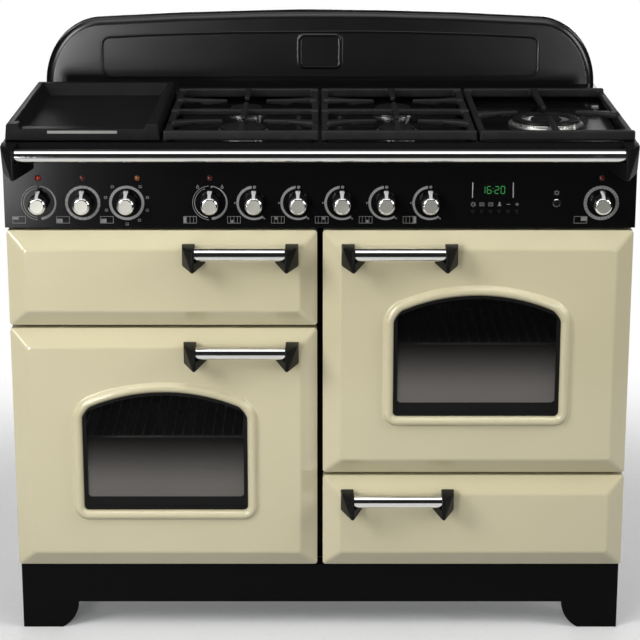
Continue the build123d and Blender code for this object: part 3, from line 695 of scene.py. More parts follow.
class COOKER_OT_fronts(bpy.types.Operator):
    """Build the enamelled door and drawer fronts with their window mouldings"""
    bl_idname = "cooker.fronts"
    bl_label = "Doors and Drawer Fronts"

    def execute(self, context):
        for side in ("left", "right"):
            node = side + "_oven_door"
            bm = start()
            window_front(bm, *span(node), *window_place(side))
            place(node + "_front", bm, ["cream", "satin_black"], side + "_door", [node], "cream_enamel")
        for kind, body in (("grill_front", "grill_drawer"), ("storage_front", "storage_drawer")):
            bm = start()
            front_blank(bm, *span(kind))
            round_front(bm)
            place(kind + "_panel", bm, ["cream"], body, [kind], "cream_enamel")
        return {"FINISHED"}


PANE_THICK = 4.0
BORDER_WIDE = 7.0
BORDER_THICK = 1.6
STRIP_THICK = 0.4
# Half the width of the inner pane, and its lower and upper edge from the sill
INNER_PANE = (156.0, -10.0, 232.0)
SILL_STRIP = ((-139.0, 5.0), (139.0, 5.0), (139.0, 25.0), (138.0, 28.0), (134.0, 24.5), (-134.0, 24.5),
              (-138.0, 28.0), (-139.0, 25.0))


class COOKER_OT_door_glass(bpy.types.Operator):
    """Build the two panes of each oven door, the black border behind the moulding and the door liners"""
    bl_idname = "cooker.door_glass"
    bl_label = "Door Glass and Liners"

    def execute(self, context):
        for side in ("left", "right"):
            body = side + "_door"
            centre_x, sill = window_place(side)
            bm = start()
            pane = arched_face(bm, centre_x, Y_FACE + 4.0, sill - 0.5, WINDOW_HALF - 0.4, WINDOW_SPRING + 0.5,
                               WINDOW_ARCH - 0.2, WINDOW_CORNER)
            pull(bm, [pane], (0, PANE_THICK, 0))
            outward(bm)
            soften(bm, 0.5, 2)
            place(side + "_door_window", bm, [side + "_glass"], body, [side + "_door_glass"], "dark_glass")
            bm = start()
            border = arched_face(bm, centre_x, Y_FACE + 3.6, sill - 0.3, WINDOW_HALF - 0.2,
                                 WINDOW_SPRING + 0.3, WINDOW_ARCH - 0.1, WINDOW_CORNER)
            rim = inset(bm, border, BORDER_WIDE)
            bmesh.ops.delete(bm, geom=[border], context="FACES_ONLY")
            pull(bm, rim, (0, -BORDER_THICK, 0))
            outward(bm)
            soften(bm, 0.5, 2)
            strip = upright(bm, [(centre_x + x, sill + z) for x, z in SILL_STRIP], Y_FACE + 3.9)
            pull(bm, [strip], (0, -STRIP_THICK, 0))
            outward(bm)
            place(side + "_door_gasket", bm, ["rubber"], body, slot="black_enamel")
            bm = start()
            half, below, above = INNER_PANE
            block(bm, (centre_x - half, Y_FLANGE - PANE_THICK, sill + below),
                  (centre_x + half, Y_FLANGE - 0.1, sill + above))
            soften(bm, 0.6, 2)
            place(side + "_door_inner_pane", bm, ["inner_glass"], body, slot="dark_glass")
            cloned(side + "_door_lining", side + "_door_liner", "oven", body, "black_enamel", 2.0)
        return {"FINISHED"}


# Bars, brackets and knobs
def bar_between(bm, x_low, x_high, y, z, radius):
    """A round bar along x with eased ends."""
    eased = 0.8
    profile = [(0.0, x_low), (radius - eased, x_low), (radius, x_low + eased), (radius, x_high - eased),
               (radius - eased, x_high), (0.0, x_high)]
    turned(bm, profile, (0, y, z), (1, 0, 0), 56, UP)


def facetted(bm, points):
    """The closed facetted solid round a few corner points."""
    verts = [bm.verts.new(point) for point in points]
    made = bmesh.ops.convex_hull(bm, input=verts, use_existing_faces=False)
    spare = only(bmesh.types.BMVert, {part for key in ("geom_interior", "geom_unused") for part in made[key]})
    bmesh.ops.delete(bm, geom=[vert for vert in spare if vert.is_valid], context="VERTS")


BRACKET_RIDGE = 4.5
# Length of a bracket along the bar, its slope, and the bar's distance from its top and from its back
HANDLE_BRACKET = (41.0, 18.5, 12.0, 30.0)
RAIL_BRACKET = (54.0, 24.0, 14.0, 47.0)


def bracket(bm, way, low, high, base, slope, above, radius):
    """One bracket: a ridge that carries the bar end, a sloping outer face and a wing below the bar."""
    outer = high.x if way > 0 else low.x
    ridge = outer - way * slope
    nose = ridge - way * BRACKET_RIDGE
    wing = outer - way * base
    back = high.y
    front = low.y
    under = high.z - above - radius
    heel = low.z + slope * 0.3
    shoulder = (back + front) / 2
    brow = high.z - 3.0
    facetted(bm, [(outer, back, high.z), (outer - way * 2.0, shoulder, high.z), (ridge, front + 5.0, brow),
                  (nose, front + 5.0, brow), (nose, shoulder, high.z), (nose, back, high.z),
                  (outer, back, low.z), (ridge, front, under), (nose, front, under), (ridge, front, low.z),
                  (nose, front, low.z), (nose, back, low.z)])
    facetted(bm, [(nose, back, under), (nose, front, under), (wing, back, under), (nose, back, heel),
                  (nose, front, low.z), (wing, back, heel)])


class COOKER_OT_handles(bpy.types.Operator):
    """Build the chrome bars and black tapered brackets of the handles and the handrail"""
    bl_idname = "cooker.handles"
    bl_label = "Handles and Handrail"

    def execute(self, context):
        radius = context.scene.cooker_sizes.bar / MM
        rows = (("left_door_handle", "left_door"), ("right_door_handle", "right_door"),
                ("grill_handle", "grill_drawer"), ("storage_handle", "storage_drawer"), ("handrail", BODY))
        for node, body in rows:
            low, high = span(node)
            base, slope, above, stand = RAIL_BRACKET if node == "handrail" else HANDLE_BRACKET
            bm = start()
            for way in (-1, 1):
                bracket(bm, way, low, high, base, slope, above, radius)
            outward(bm)
            soften(bm, 1.5, 3, 14)
            place(node + "_brackets", bm, ["bracket"], body, slot="black_enamel")
            bm = start()
            inner = slope + BRACKET_RIDGE
            bar_between(bm, low.x + inner, high.x - inner, high.y - stand, high.z - above, radius)
            place(node + "_bar", bm, ["chrome"], body, [node], "chrome")
        return {"FINISHED"}


KNOB_PROFILE = ((0.0, 0.8), (15.6, 0.8), (16.5, 1.6), (16.5, 4.6), (15.9, 6.0), (14.6, 7.2), (13.6, 9.5),
                (13.4, 13.0), (14.1, 17.0), (15.2, 20.5), (15.7, 23.5), (15.5, 26.0), (14.7, 28.0),
                (13.5, 29.4), (12.3, 30.2), (11.7, 30.3), (11.3, 29.8), (0.0, 29.6))
SPINDLE_PROFILE = ((0.0, -27.0), (4.0, -27.0), (4.0, 0.6), (0.0, 0.6))
VANE_OUTLINE = ((-5.2, 10.6), (5.2, 10.6), (5.0, 12.4), (3.5, 13.6), (3.0, 16.4), (3.4, 19.2), (4.5, 22.0),
                (4.3, 23.4), (3.2, 24.0), (-3.2, 24.0), (-4.3, 23.4), (-4.5, 22.0), (-3.4, 19.2),
                (-3.0, 16.4), (-3.5, 13.6), (-5.0, 12.4))
VANE_FRONT = 30.4
VANE_DEEP = 22.0
# Heights above the middle of a knob from which its vane leans back, and by how much
VANE_LEAN = ((11.6, 0.65), (15.8, 1.2))
DISC_RADIUS = 11.5
DISC_DEPTH = 29.5
SKIRT_DEPTH = 9.0


class COOKER_OT_knobs(bpy.types.Operator):
    """Build the ten chrome control knobs with their pointers and spindles"""
    bl_idname = "cooker.knobs"
    bl_label = "Control Knobs"

    def execute(self, context):
        for node in KNOBS:
            centre = (middle_of(node)[0], Y_FRONT, KNOB_Z)
            bm = start()
            turned(bm, KNOB_PROFILE, centre, FORWARD, 48)
            for face in bm.faces:
                middle = face.calc_center_median()
                away = math.hypot(middle.x - centre[0], middle.z - KNOB_Z)
                if Y_FRONT - middle.y > DISC_DEPTH and away < DISC_RADIUS:
                    face.material_index = 1
                elif Y_FRONT - middle.y < SKIRT_DEPTH:
                    face.material_index = 2
            before = set(bm.faces)
            vane = upright(bm, [(centre[0] + x, KNOB_Z + z) for x, z in VANE_OUTLINE],
                           Y_FRONT - VANE_FRONT)
            pull(bm, [vane], (0, VANE_DEEP, 0))
            for vert in vane.verts:
                rise = vert.co.z - KNOB_Z
                back = sum(max(0.0, rise - level) * lean for level, lean in VANE_LEAN)
                move(bm, [vert], (0, back, 0))
            made = [face for face in bm.faces if face not in before]
            outward(bm, made)
            soften(bm, 0.7, 3, 50, list({edge for face in made for edge in face.edges}))
            turned(bm, SPINDLE_PROFILE, centre, FORWARD, 24)
            place(node + "_grip", bm, ["chrome", "satin", "bracket"], node, [node], "chrome")
        return {"FINISHED"}


# Fascia with its printing, lamps, clock and buttons
INK_FRONT = 0.14
INK_SUNK = 0.06
Y_INK = Y_FRONT - INK_FRONT


def around(centre, reach, turn):
    """A spot at a distance from a centre, in degrees clockwise from the top."""
    angle = math.radians(turn)
    return centre[0] + reach * math.sin(angle), centre[1] + reach * math.cos(angle)


def ink_arc(bm, centre, inner, outer, first, sweep, taper=None):
    """Print an arc on the fascia: degrees clockwise from the top, seen from the front."""
    x, z = centre
    begin = math.radians(first)
    way = Vector((math.sin(begin), 0, math.cos(begin)))
    hub = Vector((x, Y_INK, z))
    verts = [bm.verts.new(hub + way * radius) for radius in (inner, outer)]
    edge = bm.edges.new(verts)
    steps = max(6, int(abs(sweep) / 6))
    old = set(bm.faces)
    bmesh.ops.spin(bm, geom=verts + [edge], cent=hub, axis=BACKWARD, angle=math.radians(sweep), steps=steps,
                   use_merge=abs(sweep) >= 359.9)
    faces = [face for face in bm.faces if face not in old]
    if taper:
        for vert in {vert for face in faces for vert in face.verts}:
            flat = vert.co - hub
            turn = (math.degrees(math.atan2(flat.x, flat.z)) - first) * (1 if sweep > 0 else -1)
            share = (turn % 360.0) / abs(sweep)
            width = taper[0] + (taper[1] - taper[0]) * min(1.0, share)
            if flat.length < (inner + outer) / 2:
                vert.co = hub + flat.normalized() * (outer - width)
    thicken(bm, faces)


def thicken(bm, faces):
    """Sink printed faces slightly into the fascia as thin closed pieces."""
    old = set(bm.faces)
    pull(bm, faces, (0, INK_FRONT + INK_SUNK, 0))
    outward(bm, [face for face in bm.faces if face not in old] + list(faces))


def ink_bar(bm, centre, width, height, turn=0.0):
    """Print a small bar, turned clockwise about its middle."""
    sine = math.sin(math.radians(turn))
    cosine = math.cos(math.radians(turn))
    points = [(centre[0] + x * cosine + z * sine, centre[1] - x * sine + z * cosine)
              for x, z in oblong(-width / 2, width / 2, -height / 2, height / 2)]
    thicken(bm, [upright(bm, points, Y_INK)])


def ink_box(bm, centre, width, height, line):
    """Print the outline of a rectangle."""
    x, z = centre
    face = upright(bm, oblong(x - width / 2, x + width / 2, z - height / 2, z + height / 2), Y_INK)
    rim = inset(bm, face, line)
    bmesh.ops.delete(bm, geom=[face], context="FACES_ONLY")
    thicken(bm, rim)


def ink_ticks(bm, centre, inner, outer, turns, width):
    for turn in turns:
        ink_bar(bm, around(centre, (inner + outer) / 2, turn), width, outer - inner, turn)


def ink_ring(bm, centre, inner, outer):
    ink_arc(bm, centre, inner, outer, 0, 360)


def zone_mark(bm, centre, cells, filled):
    """Print the little hob plan beside a knob, with one part filled."""
    x, z = centre
    ink_box(bm, centre, 23.0, 12.6, 0.7)
    for part in cells:
        ink_bar(bm, (x + part, z), 0.6, 11.0)
    for across, up, width, height in filled:
        ink_bar(bm, (x + across, z + up), width, height)


def knob_print(bm):
    """Print the rings, marks and zone plans round the ten knobs."""
    outer = bpy.context.scene.cooker_sizes.dial / MM
    inner = outer - 6.0
    spots = [(middle_of(node)[0], KNOB_Z) for node in KNOBS]
    grill, left, chooser, hot, *burners, right = spots
    band = inner + 1.2
    ink_arc(bm, grill, outer - 1.0, outer, -4, -170)
    ink_arc(bm, grill, inner + 1.0, inner + 2.0, -4, -170)
    ink_arc(bm, grill, band, outer, 4, 168, (1.4, outer - band))
    for first in range(2, 362, 18):
        ink_arc(bm, left, band, outer, first, 17.0)
    for first in range(2, 362, 12):
        ink_arc(bm, right, band - 0.8, outer, first, 11.0)
    ink_ring(bm, chooser, band, outer)
    for turn in (-40, 40, 75, 110, 145, 180, -75, -110):
        x, z = around(chooser, outer + 7.0, turn)
        ink_box(bm, (x, z), 5.0, 4.4, 0.55)
        ink_bar(bm, (x, z + (0.6 if turn % 2 else -0.6)), 2.6, 0.6)
    ink_arc(bm, hot, outer - 0.9, outer, -4, -172)
    ink_arc(bm, hot, band - 0.6, band + 1.4, -20, -150, (0.5, 2.0))
    ink_arc(bm, hot, band, outer, 4, 170, (1.4, outer - band))
    for way in (-1, 1):
        ink_ring(bm, (hot[0] + way * 21.0, hot[1] + outer - 3.0), 1.6, 2.5)
        ink_bar(bm, (hot[0] + way * 21.0, hot[1] + outer + 0.8), 1.4, 1.6)
    for spot in burners:
        ink_arc(bm, spot, band, outer, -8, -205, (outer - band, 3.6))
        ink_ring(bm, (spot[0] + 1.0, spot[1] + outer - 2.6), 0.9, 2.6)
        ink_ticks(bm, spot, outer + 1.6, outer + 3.4, (-90,), 3.0)
        ink_ticks(bm, spot, outer - 1.6, outer + 3.6, (-212,), 1.3)
        ink_ring(bm, (spot[0] + 17.6, spot[1] - outer + 2.6), 0.7, 1.5)
    panes = (-6.0, 0.0, 6.0)
    plans = [((), ((-5.6, 2.8, 10.0, 4.4),)), ((), ((-5.6, -1.6, 10.0, 7.0),)),
             ((), ((-5.6, -1.6, 10.0, 7.0),)),
             (panes, ((-9.0, 0.0, 4.0, 10.0),)), (panes, ((-3.0, -2.6, 4.0, 4.4),)),
             (panes, ((-3.0, 2.6, 4.0, 4.4),)), (panes, ((3.0, 2.6, 4.0, 4.4),)),
             (panes, ((3.0, -2.6, 4.0, 4.4),)), (panes, ((9.0, 0.0, 4.0, 10.0),)),
             ((), ((5.6, 1.6, 10.0, 7.0),))]
    for spot, plan in zip(spots, plans):
        zone_mark(bm, (spot[0] - 35.0, spot[1] - 30.0), *plan)


def button_print(bm):
    """Print the small signs over the timer buttons and the oven light button."""
    for step, node in enumerate(BUTTONS):
        x, z = middle_of(node)
        z += 12.5 if step < TIMERS else 18.0
        if step in (0, TIMERS):
            ink_ring(bm, (x, z), 2.4, 3.4)
            ink_ticks(bm, (x, z), 3.9, 5.2, range(0, 360, 60), 0.7)
        elif step in (1, 2):
            ink_box(bm, (x, z), 8.0, 6.0, 0.8)
            ink_bar(bm, (x, z - 0.4 + step * 0.5), 4.2, 0.8)
        elif step == 3:
            ink_bar(bm, (x, z + 0.6), 3.4, 5.0)
            ink_bar(bm, (x, z - 2.4), 6.4, 1.1)
            ink_bar(bm, (x, z + 3.7), 1.4, 1.2)
        else:
            ink_bar(bm, (x, z), 6.2, 1.2)
            if step == 5:
                ink_bar(bm, (x, z), 1.2, 6.2)


STROKE_WIDE = 1.3
SEGMENTS = {"0": "abcdef", "1": "bc", "2": "abged", "6": "afgedc"}
STROKES = {"a": (0, 1, 0), "b": (0.5, 0.5, 1), "c": (0.5, -0.5, 1), "d": (0, -1, 0), "e": (-0.5, -0.5, 1),
           "f": (-0.5, 0.5, 1), "g": (0, 0, 0)}


def clock_digits(bm, centre, text, wide, tall):
    """Light the seven-stroke digits of the clock."""
    pitch = wide * 1.62
    x = centre[0] - pitch * (len(text) - 2) / 2 - pitch * 0.14
    for sign in text:
        if sign == ":":
            for up in (-0.22, 0.22):
                ink_bar(bm, (x - pitch * 0.5 + pitch * 0.14, centre[1] + up * tall), STROKE_WIDE, STROKE_WIDE)
            x += pitch * 0.28
            continue
        for key in SEGMENTS[sign]:
            across, up, stands = STROKES[key]
            spot = (x + across * wide, centre[1] + up * tall / 2)
            size = (STROKE_WIDE, tall / 2 - 1.0) if stands else (wide - 1.0, STROKE_WIDE)
            ink_bar(bm, spot, *size)
        x += pitch


LENS = ((0.0, -3.0), (4.5, -3.0), (4.5, 0.4), (4.2, 1.1), (3.2, 1.6), (1.6, 1.9), (0.0, 2.0))
BEZEL = ((4.5, -0.2), (5.7, -0.2), (5.7, 0.5), (5.3, 0.9), (4.8, 0.9), (4.5, 0.5), (4.5, -0.2))
GLOWS = ("red_lit", "red", "amber", "red", "red")
CLOCK_TIME = "16:20"
DIGIT_WIDE = 6.4
DIGIT_TALL = 12.5


def push_button(node, timer):
    """One push button: small and black for the timer, larger with a chrome rim for the oven light."""
    radius = 3.4 if timer else 7.0
    x, z = middle_of(node)
    profile = [(0.0, -9.0), (radius + 1.5, -9.0), (radius + 1.5, -3.3), (radius, -3.3), (radius, 2.2)]
    if timer:
        profile += [(radius - 0.5, 2.8), (radius - 1.4, 3.0), (0.0, 3.0)]
    else:
        profile += [(radius - 0.6, 2.9), (radius - 1.6, 3.0), (radius - 2.4, 1.6), (radius - 3.6, 1.4),
                    (radius - 4.4, 2.0), (0.0, 2.4)]
    bm = start()
    turned(bm, profile, (x, Y_FRONT, z), FORWARD, 32)
    if timer:
        place(node + "_cap", bm, ["bracket"], node, [node], "black_enamel")
        return
    for face in bm.faces:
        spot = face.calc_center_median()
        if spot.y < Y_FRONT and math.hypot(spot.x - x, spot.z - z) < radius - 2.2:
            face.material_index = 1
    place(node + "_cap", bm, ["chrome", "bracket"], node, [node], "chrome")


class COOKER_OT_fascia(bpy.types.Operator):
    """Build the gloss fascia, its printed dials, the lamps, the clock and the push buttons"""
    bl_idname = "cooker.fascia"
    bl_label = "Fascia and Controls"

    def execute(self, context):
        cloned("fascia_panel", "control_panel", "black", BODY, "black_enamel", 0.6, 2, 60)
        bm = start()
        knob_print(bm)
        button_print(bm)
        place("dial_printing", bm, ["ink"], BODY, slot="plated_steel", weighted=False)
        bm = copy_of("indicator_lenses")
        *lamps, clock = shells_by_area(bm)
        spots = []
        for shell in lamps:
            points = [vert.co for face in shell for vert in face.verts]
            spots.append((sum(p.x for p in points) / len(points), sum(p.z for p in points) / len(points)))
        clock_low, clock_high = extent(clock)
        bm.free()
        spots.sort()
        bezels = start()
        for step, ((x, z), glow) in enumerate(zip(spots, GLOWS)):
            bm = start()
            turned(bm, LENS, (x, Y_FRONT, z), FORWARD, 32)
            lamp = place("indicator_lamp_%d" % (step + 1), bm, [glow], BODY, slot="lamp_lens")
            if step == 0:
                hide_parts("indicator_lenses")
            turned(bezels, BEZEL, (x, Y_FRONT, z), FORWARD, 32)
        place("lamp_bezels", bezels, ["bracket"], BODY, slot="black_enamel")
        bm = start()
        block(bm, clock_low, clock_high)
        soften(bm, 0.5, 2)
        place("clock_window", bm, ["ceramic"], BODY, slot="dark_glass")
        middle = ((clock_low.x + clock_high.x) / 2, (clock_low.z + clock_high.z) / 2)
        bm = start()
        clock_digits(bm, middle, CLOCK_TIME, DIGIT_WIDE, DIGIT_TALL)
        place("clock_figures", bm, ["digits"], BODY, slot="lamp_lens", weighted=False)
        bm = start()
        for edge in (clock_low.x - 2.4, clock_high.x + 0.6):
            block(bm, (edge, Y_FRONT - 1.6, clock_low.z - 1.0),
                  (edge + 1.8, Y_FRONT + 0.1, clock_high.z + 1.0))
        soften(bm, 0.5, 2)
        place("clock_side_bars", bm, ["satin"], BODY, slot="chrome")
        for step, node in enumerate(BUTTONS):
            push_button(node, step < TIMERS)
        return {"FINISHED"}


# Hob, burners, pan supports, griddle
BURNERS = ((-136.5, -140.5, 42.0), (-136.5, 49.5, 30.0), (136.5, 49.5, 34.0), (136.5, -140.5, 34.0),
           (409.5, -60.5, 62.0))
WOK_LEAST = 60
WOK_RING = 18.0
WOK_CORE = ((0.0, 8.0), (27.2, 8.0), (28.0, 8.8), (28.0, 11.0), (26.6, 12.4), (23.0, 13.0), (0.0, 12.8))
IGNITER = ((0.0, -0.5), (2.6, -0.5), (2.6, 6.0), (1.6, 7.2), (1.6, 9.0), (0.7, 9.4), (0.7, 12.5), (0.0, 12.8))


def burner_head(bm, spot, radius, wok):
    """A cast burner: flange, crown with flame ports, and the neck below."""
    x, y = spot
    count = max(24, int(radius * math.tau / 6.5) // 2 * 2)
    profile = [(0.0, -34.0), (12.0, -34.0), (12.0, 0.0), (radius + 5.2, 0.0), (radius + 6.0, 0.8),
               (radius + 6.0, 2.8), (radius + 4.8, 4.0), (radius - 0.2, 4.4), (radius, 4.9), (radius, 7.4),
               (radius - 0.6, 8.0)]
    if wok:
        profile += [(radius - WOK_RING, 8.0), (radius - WOK_RING, 4.0), (26.0, 4.0), (26.0, 8.0)]
    profile.append((0.0, 8.0))
    faces = turned(bm, profile, (x, y, WELL), UP, count * 2)
    ports = []
    for face in faces:
        middle = face.calc_center_median()
        away = math.hypot(middle.x - x, middle.y - y)
        step = math.atan2(middle.y - y, middle.x - x) / math.tau * count * 2
        if 5.0 < middle.z - WELL < 7.3 and away > radius - 2.0 and int(math.floor(step)) % 2 == 0:
            ports.append(face)
    bmesh.ops.inset_individual(bm, faces=ports, thickness=0.3, depth=-2.2, use_even_offset=True)


class COOKER_OT_hob(bpy.types.Operator):
    """Build the pressed hob plate, the hot zone, the burners with their caps and igniters"""
    bl_idname = "cooker.hob"
    bl_label = "Hob and Burners"

    def execute(self, context):
        bm = copy_of("hob_top")
        soften(bm, 1.8, 3, 50)
        for face in bm.faces:
            if face.calc_center_median().y < Y_FRONT + 2.5:
                face.material_index = 1
        place("hob_plate", bm, ["black", "satin_black"], BODY, ["hob_top"], "black_enamel")
        cloned("hot_zone_plate", "hot_zone_glass", "ceramic", BODY, "ceramic_glass", 0.8, 2)
        heads = start()
        caps = start()
        pins = start()
        for x, y, radius in BURNERS:
            wok = radius > WOK_LEAST
            burner_head(heads, (x, y), radius, wok)
            top = radius - 1.5
            rim = [(top - 0.8, 8.0), (top, 8.8), (top, 11.0), (top - 1.0, 12.3), (top - 4.0, 13.0)]
            if wok:
                inner = radius - WOK_RING
                profile = [(inner, 8.0)] + rim + [(inner + 1.0, 13.0), (inner, 12.2), (inner, 8.0)]
                turned(caps, profile, (x, y, WELL), UP, 64)
                profile = WOK_CORE
            else:
                profile = [(0.0, 8.0)] + rim + [(top * 0.5, 12.8), (0.0, 12.6)]
            turned(caps, profile, (x, y, WELL), UP, 56)
            reach = radius + 10.0
            spot = (x + reach * 0.62, y - reach * 0.785, WELL)
            turned(pins, IGNITER, spot, UP, 16)
        place("burner_bodies", heads, ["alloy"], BODY, ["burner_heads"], "burner_alloy")
        place("burner_lids", caps, ["cap"], BODY, ["burner_caps"], "cast_iron")
        place("igniter_pins", pins, ["ceramic_white"], BODY, slot="burner_alloy")
        return {"FINISHED"}


def finger(bm, root, tip, low_z, high_z, wide, narrow):
    """A support finger from its root to its tip, drawn in and cut back under the tip."""
    root = Vector(root)
    tip = Vector(tip)
    way = (tip - root).normalized()
    side = Vector((-way.y, way.x))
    points = [spot + side * part / 2
              for spot, part in ((root, wide), (root, -wide), (tip, -narrow), (tip, narrow))]
    face = polygon(bm, [(point.x, point.y, high_z) for point in points])
    made = pull(bm, [face], (0, 0, low_z - high_z))
    for vert in made[0].verts:
        if (vert.co.xy - tip).length < wide:
            move(bm, [vert], (0, 0, (high_z - low_z) * 0.35))


CAST_BAR = 12.0
CAST_LEG = 7.0
CAST_VOXEL = 0.0018
FINGER_REACH = 24.0
WOK_REACH = 40.0
FINGER_ROOT = 24.0
FINGER_KNEE = 13.0
FINGER_TIP = 7.0
KNEE_REACH = 44.0


def support_casting(bm, node):
    """The bars, fingers and legs of one pan support."""
    low, high = span(node)
    middle = (low.x + high.x) / 2
    top = high.z
    half = CAST_BAR / 2
    under = top - CAST_BAR
    spots = [spot for spot in BURNERS if abs(spot[0] - middle) < 10.0]
    spots.sort(key=lambda spot: spot[1])
    for x in (low.x, high.x - CAST_BAR):
        block(bm, (x, low.y, low.z + 4.0), (x + CAST_BAR, high.y, top - 5.0))
    ends = [low.y + half, high.y - half]
    if len(spots) > 1:
        ends.insert(1, (spots[0][1] + spots[1][1]) / 2)
    for y in ends:
        depth = low.z + 1.0 if y in (ends[0], ends[-1]) else under
        block(bm, (low.x, y - half, depth), (high.x, y + half, top))
    for x in (low.x, high.x - CAST_LEG):
        for y in (low.y, high.y - CAST_BAR):
            block(bm, (x, y, low.z), (x + CAST_LEG, y + CAST_BAR, top))
    for step, (x, y, radius) in enumerate(spots):
        reach = WOK_REACH if radius > WOK_LEAST else FINGER_REACH
        rear = 1 if step else -1
        for way in (-1, 1):
            edge = low.x + half if way < 0 else high.x - half
            knee = (edge - way * KNEE_REACH, y + rear * 4.0)
            finger(bm, (edge, y + rear * 16.0), knee, under, top, FINGER_ROOT, FINGER_KNEE)
            finger(bm, knee, (x + way * (reach + 12.0), y), under, top, FINGER_KNEE, FINGER_TIP)
        finger(bm, (x, ends[step]), (x, y - reach), under, top, CAST_BAR, 8.5)
        finger(bm, (x, ends[step + 1]), (x, y + reach), under, top, CAST_BAR, 8.5)


GRIDDLE_WELL = 106.0
GRIDDLE_HALF = 134.0
GRIDDLE_FLOOR = 7.0
GRIDDLE_LIP = 9.0
# Half the length of the pale ground strip on the griddle lip, which also paints the lip's highlight.
LIP_HIGHLIGHT_HALF = 60.0


class COOKER_OT_supports(bpy.types.Operator):
    """Build the cast pan supports, the wok support and the griddle"""
    bl_idname = "cooker.supports"
    bl_label = "Pan Supports and Griddle"

    def execute(self, context):
        soft = context.scene.cooker_sizes.soft / MM
        for node in ("pan_support_left", "pan_support_right", "wok_support"):
            bm = start()
            support_casting(bm, node)
            outward(bm)
            casting = place(node + "_casting", bm, ["cast"], node, [node], "cast_iron", weighted=False)
            skin = casting.modifiers.new("One casting", "REMESH")
            skin.mode = "VOXEL"
            skin.voxel_size = CAST_VOXEL
            skin.use_smooth_shade = True
            worn = casting.modifiers.new("Eased edges", "SMOOTH")
            worn.factor = 0.5
            worn.iterations = 4
        bm = copy_of("griddle")
        low, high = span("griddle")
        middle = (low.x + high.x) / 2
        for vert in bm.verts:
            away = vert.co.x - middle
            side = 1 if away > 0 else -1
            if abs(abs(away) - GRIDDLE_WELL) < 0.5 and vert.co.z > high.z - 0.5:
                move(bm, [vert], (side * 4.0, 0, 0))
            if abs(vert.co.z - low.z - GRIDDLE_FLOOR) < 0.2:
                inward = -9.0 if vert.co.y > low.y + 100 else 30.0
                move(bm, [vert], (-side * 15.0, inward, 0))
            if vert.co.z > high.z - 0.5 and abs(abs(away) - GRIDDLE_HALF) < 0.5:
                move(bm, [vert], (-side * 3.0, 0, 0))
        soften(bm, soft * 1.3, 4)
        # A ground strip along the middle of the pouring lip, paler than the cast, so that it also paints the
        # highlight on the lip.
        old = set(bm.faces)
        lip = high.z - GRIDDLE_LIP
        block(bm, (middle - LIP_HIGHLIGHT_HALF, low.y - 0.4, lip - 7.5),
              (middle + LIP_HIGHLIGHT_HALF, low.y + 2.0, lip - 2.5))
        for face in bm.faces:
            face.material_index = 0 if face in old else 1
        place("griddle_plate", bm, ["griddle", "ground"], "griddle", ["griddle"], "cast_iron")
        return {"FINISHED"}


SPLASH_DEEP = 25.0
PANEL_RISE = 3.0
PANEL_CORNER = 10.5
RIM_ROUND = 18.0
BEAD_WIDE = 7.0
BEAD_DEEP = 2.6
PLAQUE_EDGE = 4.0
PLAQUE_SUNK = 1.8
SPLASH_LEAN = 0.06


class COOKER_OT_splashback(bpy.types.Operator):
    """Build the arched splashback and the plinth"""
    bl_idname = "cooker.splashback"
    bl_label = "Splashback and Plinth"

    def execute(self, context):
        bm = copy_of("splashback")
        level = Y_BACK - SPLASH_DEEP
        rim = []
        for edge in bm.edges:
            if len(edge.link_faces) != 2 or edge.calc_face_angle(0.0) < math.radians(40):
                continue
            if any(abs(vert.co.y - level) >= 0.1 or vert.co.z <= HOB - 1 for vert in edge.verts):
                continue
            tall = max(abs(face.calc_center_median().y - level) for face in edge.link_faces)
            flat = all(abs(vert.co.z - HOB) < 0.1 for vert in edge.verts)
            if tall > 8.0 and not flat:
                rim.append(edge)
        ease(bm, rim, RIM_ROUND, 6)
        panel = [face for face in bm.faces if abs(face.calc_center_median().y - level + PANEL_RISE) < 0.2
                 and face.normal.y < -0.9]
        outline = {vert for face in panel for vert in face.verts}
        wide = max(vert.co.x for vert in outline)
        base = min(vert.co.z for vert in outline)
        crown = max(vert.co.z for vert in outline if vert.co.x > wide - 10.0)
        for vert in bm.verts:
            x = math.copysign(wide, vert.co.x)
            z = base if vert.co.z < (base + crown) / 2 else crown
            away = max(abs(vert.co.x - x), abs(vert.co.z - z))
            if away < PANEL_CORNER and level - PANEL_RISE - 0.1 < vert.co.y < level + 0.1:
                move(bm, [vert], ((vert.co.x - x) * 0.9, 0, (vert.co.z - z) * 0.9))
        bm.normal_update()
        bmesh.ops.inset_region(bm, faces=panel, thickness=BEAD_WIDE, depth=0.0, use_boundary=True,
                               use_even_offset=True)
        move(bm, {vert for face in panel for vert in face.verts}, (0, BEAD_DEEP, 0))
        bead = [edge for edge in bm.edges if len(edge.link_faces) == 2
                and edge.calc_face_angle(0.0) > math.radians(18) and edge.is_valid
                and all(abs(vert.co.y - level + PANEL_RISE) < 0.2 for vert in edge.verts)]
        ease(bm, bead, BEAD_DEEP, 3)
        plaque = outermost(bm, -1)
        inset(bm, plaque, PLAQUE_EDGE)
        move(bm, plaque.verts, (0, PLAQUE_SUNK, 0))
        for vert in bm.verts:
            if vert.co.y < level + 12.0:
                move(bm, [vert], (0, (vert.co.z - HOB) * SPLASH_LEAN, 0))
        place("splashback_panel", bm, ["splash"], BODY, ["splashback"], "black_enamel")
        cloned("plinth_panel", "plinth", "satin_black", BODY, "black_enamel", 1.6, 3)
        return {"FINISHED"}


# Inside the ovens and drawers
def wire(bm, first, last, radius):
    """A round wire with domed ends between two points."""
    first = Vector(first)
    last = Vector(last)
    axis = (last - first).normalized()
    across = axis.orthogonal().normalized()
    length = (last - first).length
    profile = [(0.0, 0.0), (radius * 0.7, radius * 0.3), (radius, radius), (radius, length - radius),
               (radius * 0.7, length - radius * 0.3), (0.0, length)]
    turned(bm, profile, first, axis, 10, across)


WIRE = 2.5
WIRE_PITCH = 18.0
RACK_END = 14.5
RUNGS = (69.5, 175.5)
SHELF_LEAST = 300


